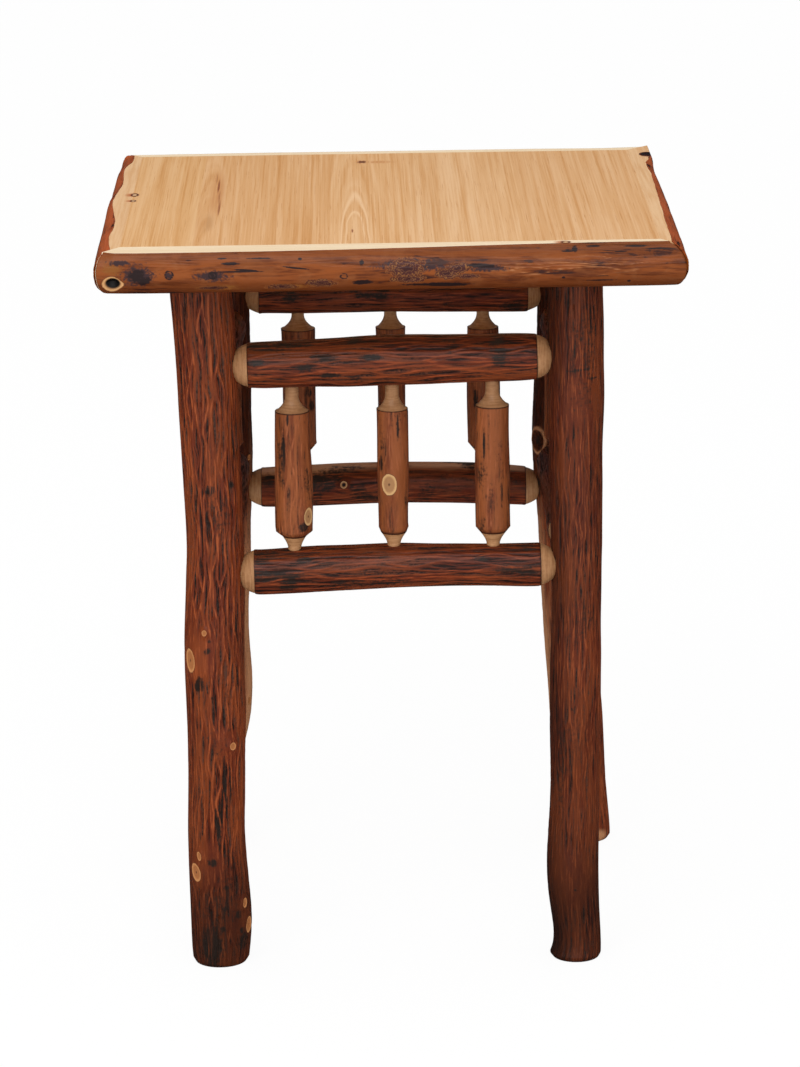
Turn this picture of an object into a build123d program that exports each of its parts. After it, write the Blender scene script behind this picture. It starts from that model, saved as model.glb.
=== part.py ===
# Square hickory log table. Four bark-on legs carry a boarded top with a mitred half-log
# edging. Rails with domed, tenoned ends and spindles with turned necks join the legs.
# Millimetres. +X is right, +Y is back, +Z is up; the origin is on the floor under the
# middle of the top.
import os

from build123d import *

os.makedirs("parts", exist_ok=True)

# Overall size
table_height = 762
top_width = 580  # along X, over the bark
top_depth = 578  # along Y, over the bark

# Boards of the top, from left to right, as shares of the panel's width
board_thickness = 25
board_shares = (0.133, 0.255, 0.159, 0.210, 0.243)

# Half-log edging round the boards
edge_height = 42
edge_width_front = 40  # from the joint with the boards to the bark's furthest point
edge_width_back = 30
edge_width_side = 27
edge_belly_drop = 20  # from the top face down to the widest point of the bark
edge_under_round = 16  # how far the bark turns in again under the edging

# Battens screwed under the boards, which hold the tops of the legs
batten_inset = 15  # from the edging to the batten's ends
batten_width = 90
batten_thickness = 16
batten_chamfer = 3
leg_pin_diameter = 30

# Legs, and how far their axes stand in from the bark of the top
leg_diameter = 58
leg_inset_left = 107
leg_inset_right = 107
leg_inset_front = 110
leg_inset_back = 100
foot_chamfer = 2.5

# Rails: how far below the top face the axis of each end meets its leg
rail_diameter = 46
front_upper_drops = (135.7, 130.1)
front_lower_drops = (349, 344.7)
back_upper_drops = (140, 142.5)
back_lower_drops = (353, 357.3)
side_upper_drops = (162, 168)
side_lower_drops = (319.5, 322)
side_rail_inset = 5  # side rails sit this much nearer the middle than the leg's axis

# Domed shoulder and round tenon at each end of a rail
dome_length = 10.5
dome_taper = 0.76  # radius where the dome meets the leg, as a share of the rail's radius
dome_seat = 5
tenon_diameter = 24
tenon_depth = 27

# Spindles
spindle_diameter = 35
spindle_room = 83  # from a leg's axis to the axis of the nearest spindle in its bay
side_spindle_room = 92
back_spindle_shift = 2.7  # how much further right the back bay's spindles stand
spindle_pin_diameter = 13.5
spindle_pin_depth = 14
bark_rim = 1.2  # flat rim of bark left round the start of each neck
neck_cove = 13  # length of the hollow between the spindle's body and its pin
neck_hollow_radius = 0.3  # middle of the hollow, as a share of the way from pin to bark
neck_hollow_place = 0.42  # and as a share of the hollow's length
front_neck_top = 24
front_neck_bottom = 18.5
back_neck_top = 17
back_neck_bottom = 25.5
side_neck_top = 19
side_neck_bottom = 19

# Fasteners
screw_diameter = 4
screw_head_diameter = 8
screw_head_height = 3
screw_length = 30
screw_tip = 5
screw_stagger = 25
dowel_diameter = 8
dowel_length = 32
dowel_in_edge = 12
side_dowels = 3

# Clearances
tenon_gap = 0.2
pin_gap = 0.15
fastener_gap = 0.1
cutter_overrun = 12  # how far a cutter starts outside the skin that it cuts through

# Worked-out places
panel_width = top_width - 2 * edge_width_side
panel_front = -top_depth / 2 + edge_width_front
panel_back = top_depth / 2 - edge_width_back
panel_depth = panel_back - panel_front
panel_middle_y = (panel_front + panel_back) / 2
board_underside = table_height - board_thickness
batten_length = panel_width - 2 * batten_inset
batten_underside = board_underside - batten_thickness
leg_length = batten_underside
leg_left = -top_width / 2 + leg_inset_left
leg_right = top_width / 2 - leg_inset_right
leg_front = -top_depth / 2 + leg_inset_front
leg_back = top_depth / 2 - leg_inset_back

# Rings of each leg, evenly spaced from foot to shoulder: drift along X and along Y, and
# girth, all in leg diameters. The swellings are healed knots.
leg_rings = {
    "leg_front_left": (
        (-0.02, -0.02, 0.975),
        (-0.007, 0.01, 1.075),
        (-0.038, 0.0, 1.03),
        (-0.03, -0.01, 1.01),
        (0.0, -0.02, 1.025),
        (-0.004, -0.01, 1.045),
        (0.012, 0.0, 1.05),
        (0.043, 0.01, 1.007),
        (0.04, 0.02, 1.003),
        (0.012, 0.01, 1.017),
        (-0.008, 0.0, 1.04),
        (-0.045, -0.01, 1.06),
        (-0.083, -0.01, 1.05),
    ),
    "leg_front_right": (
        (-0.035, -0.10, 0.935),
        (-0.033, -0.04, 0.89),
        (-0.055, -0.01, 0.915),
        (-0.018, 0.01, 0.87),
        (-0.017, 0.02, 0.88),
        (-0.01, 0.02, 0.89),
        (0.01, 0.01, 0.882),
        (0.017, 0.0, 0.888),
        (0.005, -0.01, 0.91),
        (0.003, -0.01, 0.945),
        (0.01, 0.0, 0.983),
        (0.012, 0.0, 0.972),
        (0.005, 0.01, 0.95),
    ),
    "leg_back_left": (
        (-0.33, 0.05, 0.95),
        (-0.30, 0.04, 0.96),
        (-0.175, 0.03, 0.98),
        (-0.03, 0.01, 1.04),
        (-0.047, 0.0, 1.0),
        (-0.03, -0.01, 1.0),
        (0.01, -0.02, 1.0),
        (0.065, -0.02, 1.0),
        (0.08, -0.01, 1.01),
        (0.085, 0.0, 1.0),
        (0.085, 0.01, 1.01),
        (0.055, 0.01, 1.01),
        (0.04, 0.0, 1.02),
    ),
    "leg_back_right": (
        (0.49, 0.05, 0.99),
        (0.42, 0.08, 0.99),
        (0.36, 0.09, 1.0),
        (0.30, 0.06, 1.0),
        (0.22, 0.03, 0.99),
        (0.165, 0.01, 0.985),
        (0.12, 0.0, 0.985),
        (0.05, -0.01, 0.99),
        (0.03, 0.0, 1.015),
        (0.08, 0.01, 0.98),
        (0.12, 0.02, 0.98),
        (0.13, 0.02, 0.98),
        (0.12, 0.02, 0.99),
    ),
}

# Rings of each rail, evenly spaced between its domes: rise, sway and girth, all in rail
# diameters. Front and back rails run from left to right, side rails from front to back.
rail_rings = {
    "rail_front_upper": (
        (0, 0, 0.975),
        (0, 0.02, 1.025),
        (0.02, 0.03, 1.07),
        (0.03, 0.03, 1.11),
        (0.02, 0.02, 1.075),
        (0.005, 0.01, 1.045),
        (0, 0, 0.995),
    ),
    "rail_front_lower": (
        (0, 0, 0.985),
        (0.01, -0.02, 1.01),
        (0.035, -0.03, 1.01),
        (0.047, -0.02, 0.985),
        (0.045, -0.01, 0.955),
        (0.02, 0, 0.945),
        (0, 0, 0.955),
    ),
    "rail_back_upper": (
        (0, 0, 0.89),
        (0.035, 0.02, 0.91),
        (0.04, 0.03, 0.90),
        (0.02, 0.01, 0.90),
        (0, 0, 0.88),
    ),
    "rail_back_lower": (
        (0, 0, 0.93),
        (0.06, 0.02, 0.985),
        (0.10, 0.02, 0.97),
        (0.08, 0, 0.965),
        (0, 0, 0.93),
    ),
    "rail_left_upper": (
        (0, 0, 0.94),
        (0.03, -0.02, 0.98),
        (0.02, -0.03, 0.96),
        (0, 0, 0.93),
    ),
    "rail_left_lower": (
        (0, 0, 0.98),
        (-0.03, -0.02, 1.0),
        (-0.02, 0.01, 0.97),
        (0, 0, 0.95),
    ),
    "rail_right_upper": (
        (0, 0, 0.95),
        (-0.02, 0.01, 0.97),
        (0.03, 0.03, 0.99),
        (0, 0, 0.94),
    ),
    "rail_right_lower": (
        (0, 0, 0.96),
        (0.04, 0.02, 0.99),
        (0.02, 0, 0.96),
        (0, 0, 0.95),
    ),
}

# Rings of each spindle's body, evenly spaced from bottom to top: drift along its bay and
# across it, and girth, all in spindle diameters.
spindle_rings = {
    "spindle_front_left": ((0, 0, 1.06), (0.01, 0.01, 1.09), (0, 0.02, 1.03), (0, 0, 0.98)),
    "spindle_front_middle": ((0, 0, 0.86), (0, -0.02, 0.89), (0, 0, 0.90)),
    "spindle_front_right": ((0, 0, 1.0), (-0.01, 0.02, 0.985), (0, 0, 0.965)),
    "spindle_back_left": ((0, 0, 1.04), (0.01, 0.02, 1.03), (0, 0, 1.06)),
    "spindle_back_middle": ((0, 0, 0.87), (0.01, 0, 0.88), (0, 0, 0.925)),
    "spindle_back_right": ((0, 0, 0.99), (0, -0.02, 1.025), (0, 0, 0.965)),
    "spindle_left_front": ((0, 0, 0.97), (0.02, 0, 0.99), (0, 0, 0.95)),
    "spindle_left_middle": ((0, 0, 0.92), (-0.02, 0, 0.90), (0, 0, 0.93)),
    "spindle_left_back": ((0, 0, 1.02), (0, 0.02, 1.0), (0, 0, 0.98)),
    "spindle_right_front": ((0, 0, 1.0), (-0.02, 0, 0.98), (0, 0, 0.96)),
    "spindle_right_middle": ((0, 0, 0.90), (0.02, 0, 0.93), (0, 0, 0.91)),
    "spindle_right_back": ((0, 0, 0.96), (0, -0.02, 1.0), (0, 0, 1.0)),
}

# Rings of each edging log, evenly spaced from its right end to its left seen from outside:
# width of the sawn flat on top, and reach of the bark, both in widths of the edging.
edge_rings = {
    "edge_front": (
        (0.28, 0.90),
        (0.30, 0.975),
        (0.45, 0.992),
        (0.65, 1.0),
        (0.78, 0.992),
        (0.82, 0.975),
        (0.76, 0.90),
    ),
    "edge_back": (
        (0.45, 0.90),
        (0.50, 0.975),
        (0.52, 0.992),
        (0.50, 1.0),
        (0.52, 0.992),
        (0.48, 0.985),
        (0.45, 0.97),
    ),
    "edge_left": (
        (0.64, 0.93),
        (0.46, 0.975),
        (0.41, 0.985),
        (0.54, 0.992),
        (0.70, 1.0),
        (0.55, 0.992),
        (0.55, 0.985),
        (0.42, 0.975),
        (0.64, 0.93),
    ),
    "edge_right": (
        (0.52, 0.99),
        (0.55, 0.985),
        (0.47, 0.992),
        (0.42, 1.0),
        (0.35, 0.992),
        (0.30, 0.98),
        (0.18, 0.92),
    ),
}


def finish(piece, name):
    """Label a finished piece and write it to its own file."""
    piece.label = name
    export_step(piece, f"parts/{name}.step")


def ring_at(rings, share):
    """Read drifts and girth at a share of a log's length, between its rings."""
    place = share * (len(rings) - 1)
    number = min(int(place), len(rings) - 2)
    below, above = rings[number], rings[number + 1]
    return tuple(a + (place - number) * (b - a) for a, b in zip(below, above))


def log_body(start, length, diameter, rings):
    """Loft a natural log through round rings on planes square to its axis."""
    with BuildPart() as log:
        for number, (drift_x, drift_y, girth) in enumerate(rings):
            with BuildSketch(start.offset(length * number / (len(rings) - 1))):
                with Locations((drift_x * diameter, drift_y * diameter)):
                    Circle(girth * diameter / 2)
        loft()
    return log.part


def rail_end(face, shoulder_radius, gap=0):
    """Turn the dome and tenon at a rail's end, or with a gap the mortise that takes them.

    The face is a plane on the leg's surface whose normal points along the rail.
    """
    tenon_radius = tenon_diameter / 2 + gap
    dome_radius = shoulder_radius + gap
    tip = -tenon_depth - gap
    with BuildPart() as end:
        with BuildSketch(Plane.XZ):
            with BuildLine():
                ThreePointArc(
                    (dome_radius, dome_length),
                    (dome_taper * dome_radius, 0),
                    (tenon_radius, -dome_seat),
                )
                Polyline((tenon_radius, -dome_seat), (tenon_radius, tip), (0, tip))
                Polyline((0, tip), (0, dome_length), (dome_radius, dome_length))
            make_face()
        revolve(axis=Axis.Z)
    return end.part.moved(face.location)


def spindle_end(face, body_radius, neck_length):
    """Turn the hollow neck and the pin at a spindle's end.

    The face is a plane at the end of the spindle's body whose normal points outwards.
    """
    pin_radius = spindle_pin_diameter / 2
    neck_radius = body_radius - bark_rim
    hollow_radius = pin_radius + neck_hollow_radius * (neck_radius - pin_radius)
    tip = neck_length + spindle_pin_depth
    with BuildPart() as end:
        with BuildSketch(Plane.XZ):
            with BuildLine():
                ThreePointArc(
                    (neck_radius, 0),
                    (hollow_radius, neck_hollow_place * neck_cove),
                    (pin_radius, neck_cove),
                )
                Polyline((pin_radius, neck_cove), (pin_radius, tip), (0, tip))
                Polyline((0, tip), (0, -bark_rim), (neck_radius, -bark_rim), (neck_radius, 0))
            make_face()
        revolve(axis=Axis.Z)
    return end.part.moved(face.location)


# Leg places: each leg's nominal axis, then the point and radius at any height
leg_axes = {
    "leg_front_left": (leg_left, leg_front),
    "leg_front_right": (leg_right, leg_front),
    "leg_back_left": (leg_left, leg_back),
    "leg_back_right": (leg_right, leg_back),
}


def leg_at(name, height):
    """Return the middle of a leg at a height, and the leg's radius there."""
    drift_x, drift_y, girth = ring_at(leg_rings[name], height / leg_length)
    nominal_x, nominal_y = leg_axes[name]
    middle = Vector(
        nominal_x + drift_x * leg_diameter,
        nominal_y + drift_y * leg_diameter,
        height,
    )
    return middle, girth * leg_diameter / 2


# Rail places: the two legs that carry it, the drops of its ends, and which way a side
# rail steps inwards
rail_places = {
    "rail_front_upper": ("leg_front_left", "leg_front_right", front_upper_drops, 0),
    "rail_front_lower": ("leg_front_left", "leg_front_right", front_lower_drops, 0),
    "rail_back_upper": ("leg_back_left", "leg_back_right", back_upper_drops, 0),
    "rail_back_lower": ("leg_back_left", "leg_back_right", back_lower_drops, 0),
    "rail_left_upper": ("leg_front_left", "leg_back_left", side_upper_drops, 1),
    "rail_left_lower": ("leg_front_left", "leg_back_left", side_lower_drops, 1),
    "rail_right_upper": ("leg_front_right", "leg_back_right", side_upper_drops, -1),
    "rail_right_lower": ("leg_front_right", "leg_back_right", side_lower_drops, -1),
}


def rail_line(name):
    """Return the points where a rail's axis meets the faces of its two legs."""
    first_leg, second_leg, drops, inwards = rail_places[name]
    first_middle, first_radius = leg_at(first_leg, table_height - drops[0])
    second_middle, second_radius = leg_at(second_leg, table_height - drops[1])
    inset = inwards * side_rail_inset
    step = Vector(inset, 0, 0)
    along = (second_middle - first_middle).normalized()
    first_reach = (first_radius**2 - inset**2) ** 0.5
    second_reach = (second_radius**2 - inset**2) ** 0.5
    start = first_middle + step + along * first_reach
    end = second_middle + step - along * second_reach
    return start, end


def rail_plane(name):
    """Return the plane at a rail's start: normal along the rail, its x axis upwards."""
    start, end = rail_line(name)
    return Plane(origin=start, x_dir=(0, 0, 1), z_dir=end - start)


def rail_at(name, axis_name, distance):
    """Return the middle and radius of a rail where it crosses a given X or Y."""
    start, end = rail_line(name)
    length = (end - start).length
    first = getattr(start, axis_name)
    last = getattr(end, axis_name)
    travel = (distance - first) / (last - first)
    share = (travel * length - dome_length) / (length - 2 * dome_length)
    rise, sway, girth = ring_at(rail_rings[name], share)
    plane = rail_plane(name)
    middle = (
        start
        + (end - start) * travel
        + plane.x_dir * (rise * rail_diameter)
        + plane.y_dir * (sway * rail_diameter)
    )
    return middle, girth * rail_diameter / 2


# Each rail's two end faces, with the legs that they meet
rail_ends = []
for name in rail_places:
    first_leg, second_leg = rail_places[name][:2]
    start, end = rail_line(name)
    first_face = Plane(origin=start, x_dir=(0, 0, 1), z_dir=end - start)
    second_face = Plane(origin=end, x_dir=(0, 0, 1), z_dir=start - end)
    first_radius = rail_rings[name][0][2] * rail_diameter / 2
    second_radius = rail_rings[name][-1][2] * rail_diameter / 2
    rail_ends.append((name, first_leg, first_face, first_radius))
    rail_ends.append((name, second_leg, second_face, second_radius))

# Bays of spindles: upper rail, lower rail, neck lengths, and where each spindle stands
front_necks = (front_neck_bottom, front_neck_top)
back_necks = (back_neck_bottom, back_neck_top)
side_necks = (side_neck_bottom, side_neck_top)
spindle_spacing = (leg_right - leg_left) / 2 - spindle_room
side_spindle_spacing = (leg_back - leg_front) / 2 - side_spindle_room
side_middle = (leg_front + leg_back) / 2
across = {"left": -spindle_spacing, "middle": 0, "right": spindle_spacing}
across_back = {spot: distance + back_spindle_shift for spot, distance in across.items()}
deep = {
    "front": side_middle - side_spindle_spacing,
    "middle": side_middle,
    "back": side_middle + side_spindle_spacing,
}
bays = {
    "front": ("X", front_necks, across),
    "back": ("X", back_necks, across_back),
    "left": ("Y", side_necks, deep),
    "right": ("Y", side_necks, deep),
}

# Each spindle's line: pin tips aside, it runs between the skins of its two rails
spindle_lines = {}
for bay, (axis_name, necks, spots) in bays.items():
    for spot, distance in spots.items():
        low_middle, low_radius = rail_at(f"rail_{bay}_lower", axis_name, distance)
        top_middle, top_radius = rail_at(f"rail_{bay}_upper", axis_name, distance)
        upwards = (top_middle - low_middle).normalized()
        low_skin = low_middle + upwards * low_radius
        top_skin = top_middle - upwards * top_radius
        spindle_lines[f"spindle_{bay}_{spot}"] = (bay, low_skin, top_skin, upwards, necks)

# Legs: a natural log with a chamfered foot, a pin on top and a mortise for each rail
for name, rings in leg_rings.items():
    nominal_x, nominal_y = leg_axes[name]
    with BuildPart() as leg:
        add(log_body(Plane(origin=(nominal_x, nominal_y, 0)), leg_length, leg_diameter, rings))
        chamfer(leg.edges().group_by(Axis.Z)[0], length=foot_chamfer)
        with BuildSketch(Plane(origin=leg_at(name, leg_length)[0])):
            Circle(leg_pin_diameter / 2)
        extrude(amount=batten_thickness)
        for _, leg_name, face, shoulder_radius in rail_ends:
            if leg_name == name:
                add(rail_end(face, shoulder_radius, tenon_gap), mode=Mode.SUBTRACT)
    finish(leg.part, name)

# Rails: a natural log, a dome and tenon at each end, and a socket for each spindle's pin
for name, rings in rail_rings.items():
    start, end = rail_line(name)
    length = (end - start).length - 2 * dome_length
    with BuildPart() as rail:
        add(log_body(rail_plane(name).offset(dome_length), length, rail_diameter, rings))
        for rail_name, _, face, shoulder_radius in rail_ends:
            if rail_name == name:
                add(rail_end(face, shoulder_radius))
        for bay, low_skin, top_skin, upwards, _ in spindle_lines.values():
            if name == f"rail_{bay}_lower":
                socket = Plane(origin=low_skin, z_dir=upwards)
            elif name == f"rail_{bay}_upper":
                socket = Plane(origin=top_skin, z_dir=-upwards)
            else:
                continue
            with BuildSketch(socket.offset(-spindle_pin_depth - pin_gap)):
                Circle(spindle_pin_diameter / 2 + pin_gap)
            extrude(amount=spindle_pin_depth + cutter_overrun, mode=Mode.SUBTRACT)
    finish(rail.part, name)

# Spindles: a short natural log between two turned necks
for name, (bay, low_skin, top_skin, upwards, necks) in spindle_lines.items():
    rings = spindle_rings[name]
    bottom_neck, top_neck = necks
    bottom = low_skin + upwards * bottom_neck
    length = (top_skin - low_skin).length - bottom_neck - top_neck
    bay_direction = (1, 0, 0) if bays[bay][0] == "X" else (0, 1, 0)
    base = Plane(origin=bottom, x_dir=bay_direction, z_dir=upwards)
    crown = base.offset(length)
    foot = Plane(origin=bottom, x_dir=bay_direction, z_dir=-upwards)
    with BuildPart() as spindle:
        add(log_body(base, length, spindle_diameter, rings))
        add(spindle_end(foot, rings[0][2] * spindle_diameter / 2, bottom_neck))
        add(spindle_end(crown, rings[-1][2] * spindle_diameter / 2, top_neck))
    finish(spindle.part, name)

# Places of the boards, the screws through the battens and the dowels in the edging
board_edges = [-panel_width / 2]
for share in board_shares:
    board_edges.append(board_edges[-1] + share * panel_width / sum(board_shares))
board_middles = [(left + right) / 2 for left, right in zip(board_edges, board_edges[1:])]
batten_rows = {"batten_front": leg_front, "batten_back": leg_back}
screw_spots = []
for row_y in batten_rows.values():
    for number, middle_x in enumerate(board_middles):
        side = 1 if number % 2 else -1
        screw_spots.append((middle_x, row_y + side * screw_stagger))
dowel_height = table_height - board_thickness / 2
dowel_in_board = dowel_length - dowel_in_edge
dowel_faces = []
for middle_x in board_middles:
    dowel_faces.append(Plane(origin=(middle_x, panel_front, dowel_height), z_dir=(0, -1, 0)))
    dowel_faces.append(Plane(origin=(middle_x, panel_back, dowel_height), z_dir=(0, 1, 0)))
for number in range(side_dowels):
    middle_y = panel_front + panel_depth * (number + 0.5) / side_dowels
    for side in (-1, 1):
        joint = (side * panel_width / 2, middle_y, dowel_height)
        dowel_faces.append(Plane(origin=joint, z_dir=(side, 0, 0)))


def dowel_set(gap):
    """Make every dowel across the joint between boards and edging, with a gap around."""
    with BuildPart() as dowels:
        for face in dowel_faces:
            with BuildSketch(face.offset(-dowel_in_board - gap)):
                Circle(dowel_diameter / 2 + gap)
        extrude(amount=dowel_length + 2 * gap)
    return dowels.part


def screw_set(gap):
    """Make every countersunk screw, head down in the battens, with a gap around."""
    head_radius = screw_head_diameter / 2 + gap
    shank_radius = screw_diameter / 2 + gap
    tip = screw_length + gap
    with BuildPart() as screw:
        with BuildSketch(Plane.XZ):
            with BuildLine():
                Polyline(
                    (0, 0),
                    (head_radius, 0),
                    (shank_radius, screw_head_height),
                    (shank_radius, tip - screw_tip),
                    (0, tip),
                    (0, 0),
                )
            make_face()
        revolve(axis=Axis.Z)
    with BuildPart() as screws:
        with Locations(*[(x, y, batten_underside) for x, y in screw_spots]):
            add(screw.part)
    return screws.part


# Boards of the top, side by side, drilled for the dowels and the screws
dowel_holes = dowel_set(fastener_gap)
screw_holes = screw_set(fastener_gap)
for number, (left, right) in enumerate(zip(board_edges, board_edges[1:]), start=1):
    with BuildPart() as board:
        with BuildSketch(Plane.XY.offset(board_underside)):
            with Locations(((left + right) / 2, panel_middle_y)):
                Rectangle(right - left, panel_depth)
        extrude(amount=board_thickness)
        add(dowel_holes, mode=Mode.SUBTRACT)
        add(screw_holes, mode=Mode.SUBTRACT)
    finish(board.part, f"top_board_{number}")

# Battens across the boards, drilled for the screws and for the pins on the legs
for name, row_y in batten_rows.items():
    with BuildPart() as batten:
        with BuildSketch(Plane.XY.offset(batten_underside)):
            with Locations((0, row_y)):
                Rectangle(batten_length, batten_width)
        extrude(amount=batten_thickness)
        chamfer(batten.faces().sort_by(Axis.Z)[0].edges(), length=batten_chamfer)
        for leg_name in leg_rings:
            with BuildSketch(Plane(origin=leg_at(leg_name, leg_length)[0])):
                Circle(leg_pin_diameter / 2 + tenon_gap)
        extrude(amount=batten_thickness, mode=Mode.SUBTRACT)
        add(screw_holes, mode=Mode.SUBTRACT)
    finish(batten.part, name)

# Edging: half-logs round the boards, mitred from the boards' corners to the outer corners
edge_places = {
    "edge_front": ((top_width / 2, panel_front), (0, -1), edge_width_front, top_width),
    "edge_back": ((-top_width / 2, panel_back), (0, 1), edge_width_back, top_width),
    "edge_left": ((-panel_width / 2, -top_depth / 2), (-1, 0), edge_width_side, top_depth),
    "edge_right": ((panel_width / 2, top_depth / 2), (1, 0), edge_width_side, top_depth),
}
board_corners = [
    Vector(side * panel_width / 2, end_y) for side in (-1, 1) for end_y in (panel_front, panel_back)
]
outer_corners = [
    Vector(side * top_width / 2, end * top_depth / 2) for side in (-1, 1) for end in (-1, 1)
]
quarter_turn = 90
for name, (start, outward, width, length) in edge_places.items():
    outward = Vector(*outward)
    along = outward.cross(Vector(0, 0, 1))
    origin = Vector(start[0], start[1], table_height)
    run = Plane(origin=origin, x_dir=outward, z_dir=along)
    spacing = length / (len(edge_rings[name]) - 1)
    with BuildPart() as edge:
        for number, (flat_share, reach_share) in enumerate(edge_rings[name]):
            flat = flat_share * width
            reach = reach_share * width
            under = reach - edge_under_round
            with BuildSketch(run.offset(number * spacing)):
                with BuildLine():
                    Line((0, 0), (flat, 0))
                    EllipticalCenterArc(
                        (flat, -edge_belly_drop),
                        reach - flat,
                        edge_belly_drop,
                        arc_size=quarter_turn,
                    )
                    EllipticalCenterArc(
                        (under, -edge_belly_drop),
                        edge_under_round,
                        edge_height - edge_belly_drop,
                        arc_size=-quarter_turn,
                    )
                    Polyline((under, -edge_height), (0, -edge_height), (0, 0))
                make_face()
        loft()
        for board_corner, outer_corner in zip(board_corners, outer_corners):
            mitre = (outer_corner - board_corner).cross(Vector(0, 0, 1)).normalized()
            middle = edge.part.center()
            towards_middle = middle - board_corner
            facing = mitre if mitre.dot(towards_middle) > 0 else -mitre
            if outward.dot(outer_corner - board_corner) > 0:
                split(bisect_by=Plane(origin=board_corner, z_dir=facing), keep=Keep.TOP)
        add(dowel_holes, mode=Mode.SUBTRACT)
    finish(edge.part, name)

# Fasteners, each kind as one group of separate solids
finish(dowel_set(0), "edge_dowels")
finish(screw_set(0), "batten_screws")
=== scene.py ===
from math import cos, pi, radians, sin

import bpy
import numpy as np
from mathutils import Matrix, Vector
from mathutils.bvhtree import BVHTree


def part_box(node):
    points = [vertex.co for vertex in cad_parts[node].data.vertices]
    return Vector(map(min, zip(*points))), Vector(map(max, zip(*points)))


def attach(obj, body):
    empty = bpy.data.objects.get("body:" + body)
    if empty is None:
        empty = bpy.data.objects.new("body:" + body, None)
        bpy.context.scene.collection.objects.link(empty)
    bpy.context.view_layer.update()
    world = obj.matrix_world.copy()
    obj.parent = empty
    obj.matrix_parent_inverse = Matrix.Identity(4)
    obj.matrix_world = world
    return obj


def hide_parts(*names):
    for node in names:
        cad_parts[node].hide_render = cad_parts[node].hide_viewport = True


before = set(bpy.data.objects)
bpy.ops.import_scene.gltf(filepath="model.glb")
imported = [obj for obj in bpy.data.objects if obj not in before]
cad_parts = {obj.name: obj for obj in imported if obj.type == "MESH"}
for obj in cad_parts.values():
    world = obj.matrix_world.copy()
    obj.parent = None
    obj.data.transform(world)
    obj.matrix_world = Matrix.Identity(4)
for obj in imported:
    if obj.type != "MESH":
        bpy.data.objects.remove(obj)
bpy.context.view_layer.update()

# Studio. A white floor that runs on into a white background, and one broad lamp in front
# and above. Dark cloths at the sides, behind and underfoot show only in the bark's gloss.
floor_half_width = 30
floor_white = 0.88
floor_lift = 0.93
cloth_black = 0.03
cloth_distance = 2.0
cloth_height = 3.4
cloth_front = -3.5
cloth_back = 2.6
mat_front = -1.0
mat_height = 0.5 / 1000
sky_strength = 0.96
lamp_size = (4.4, 3.0)
lamp_watts = 112
lamp_place = Vector((-0.8, -3.4, 3.2))
lamp_target = Vector((0, 0, 0.45))


def tint(red, green, blue):
    """Turn a colour as a screen shows it, 0 to 255, into the shader's own linear colour."""
    shares = [value / 255 for value in (red, green, blue)]
    linear = [s / 12.92 if s < 0.04045 else ((s + 0.055) / 1.055) ** 2.4 for s in shares]
    return (*linear, 1.0)


def sheet_object(name, corners):
    """Make a flat four-cornered sheet."""
    mesh = bpy.data.meshes.new(name)
    mesh.from_pydata(corners, [], [(0, 1, 2, 3)])
    sheet = bpy.data.objects.new(name, mesh)
    bpy.context.scene.collection.objects.link(sheet)
    return sheet


def camera_or_gloss(tree):
    """Give 1 for rays that come from the camera, a glossy surface or a clear one, else 0."""
    path = tree.nodes.new("ShaderNodeLightPath")
    either = tree.nodes.new("ShaderNodeMath")
    either.operation = "MAXIMUM"
    tree.links.new(path.outputs["Is Camera Ray"], either.inputs[0])
    tree.links.new(path.outputs["Is Glossy Ray"], either.inputs[1])
    any_of_three = tree.nodes.new("ShaderNodeMath")
    any_of_three.operation = "MAXIMUM"
    tree.links.new(either.outputs[0], any_of_three.inputs[0])
    tree.links.new(path.outputs["Is Transmission Ray"], any_of_three.inputs[1])
    return any_of_three.outputs[0]


def white_floor():
    """A matt white floor, lifted towards plain white for the camera and for reflections."""
    material = bpy.data.materials.new("white_floor")
    material.use_nodes = True
    tree = material.node_tree
    tree.nodes.clear()
    matt = tree.nodes.new("ShaderNodeBsdfDiffuse")
    matt.inputs["Color"].default_value = (floor_white, floor_white, floor_white, 1)
    plain_white = tree.nodes.new("ShaderNodeEmission")
    plain_white.inputs["Color"].default_value = (1, 1, 1, 1)
    share = tree.nodes.new("ShaderNodeMath")
    share.operation = "MULTIPLY"
    share.inputs[1].default_value = floor_lift
    tree.links.new(camera_or_gloss(tree), share.inputs[0])
    both = tree.nodes.new("ShaderNodeMixShader")
    tree.links.new(share.outputs[0], both.inputs["Fac"])
    tree.links.new(matt.outputs[0], both.inputs[1])
    tree.links.new(plain_white.outputs[0], both.inputs[2])
    output = tree.nodes.new("ShaderNodeOutputMaterial")
    tree.links.new(both.outputs[0], output.inputs["Surface"])
    return material


f = floor_half_width
floor = sheet_object("studio_floor", [(-f, -f, 0), (f, -f, 0), (f, f, 0), (-f, f, 0)])
floor.data.materials.append(white_floor())

dark_cloth = bpy.data.materials.new("dark_cloth")
dark_cloth.use_nodes = True
cloth_shader = dark_cloth.node_tree.nodes["Principled BSDF"]
cloth_shader.inputs["Base Color"].default_value = (cloth_black, cloth_black, cloth_black, 1)
cloth_shader.inputs["Roughness"].default_value = 1
d, h, front, back, mat = cloth_distance, cloth_height, cloth_front, cloth_back, mat_height
cloths = {
    "studio_cloth_left": [(-d, front, 0), (-d, back, 0), (-d, back, h), (-d, front, h)],
    "studio_cloth_right": [(d, front, 0), (d, back, 0), (d, back, h), (d, front, h)],
    "studio_cloth_behind": [(-d, back, 0), (d, back, 0), (d, back, h), (-d, back, h)],
    "studio_mat": [(-d, mat_front, mat), (d, mat_front, mat), (d, back, mat), (-d, back, mat)],
}
for cloth_name, corners in cloths.items():
    cloth = sheet_object(cloth_name, corners)
    cloth.data.materials.append(dark_cloth)
    cloth.visible_camera = False
    cloth.visible_diffuse = False
    cloth.visible_shadow = False

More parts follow.
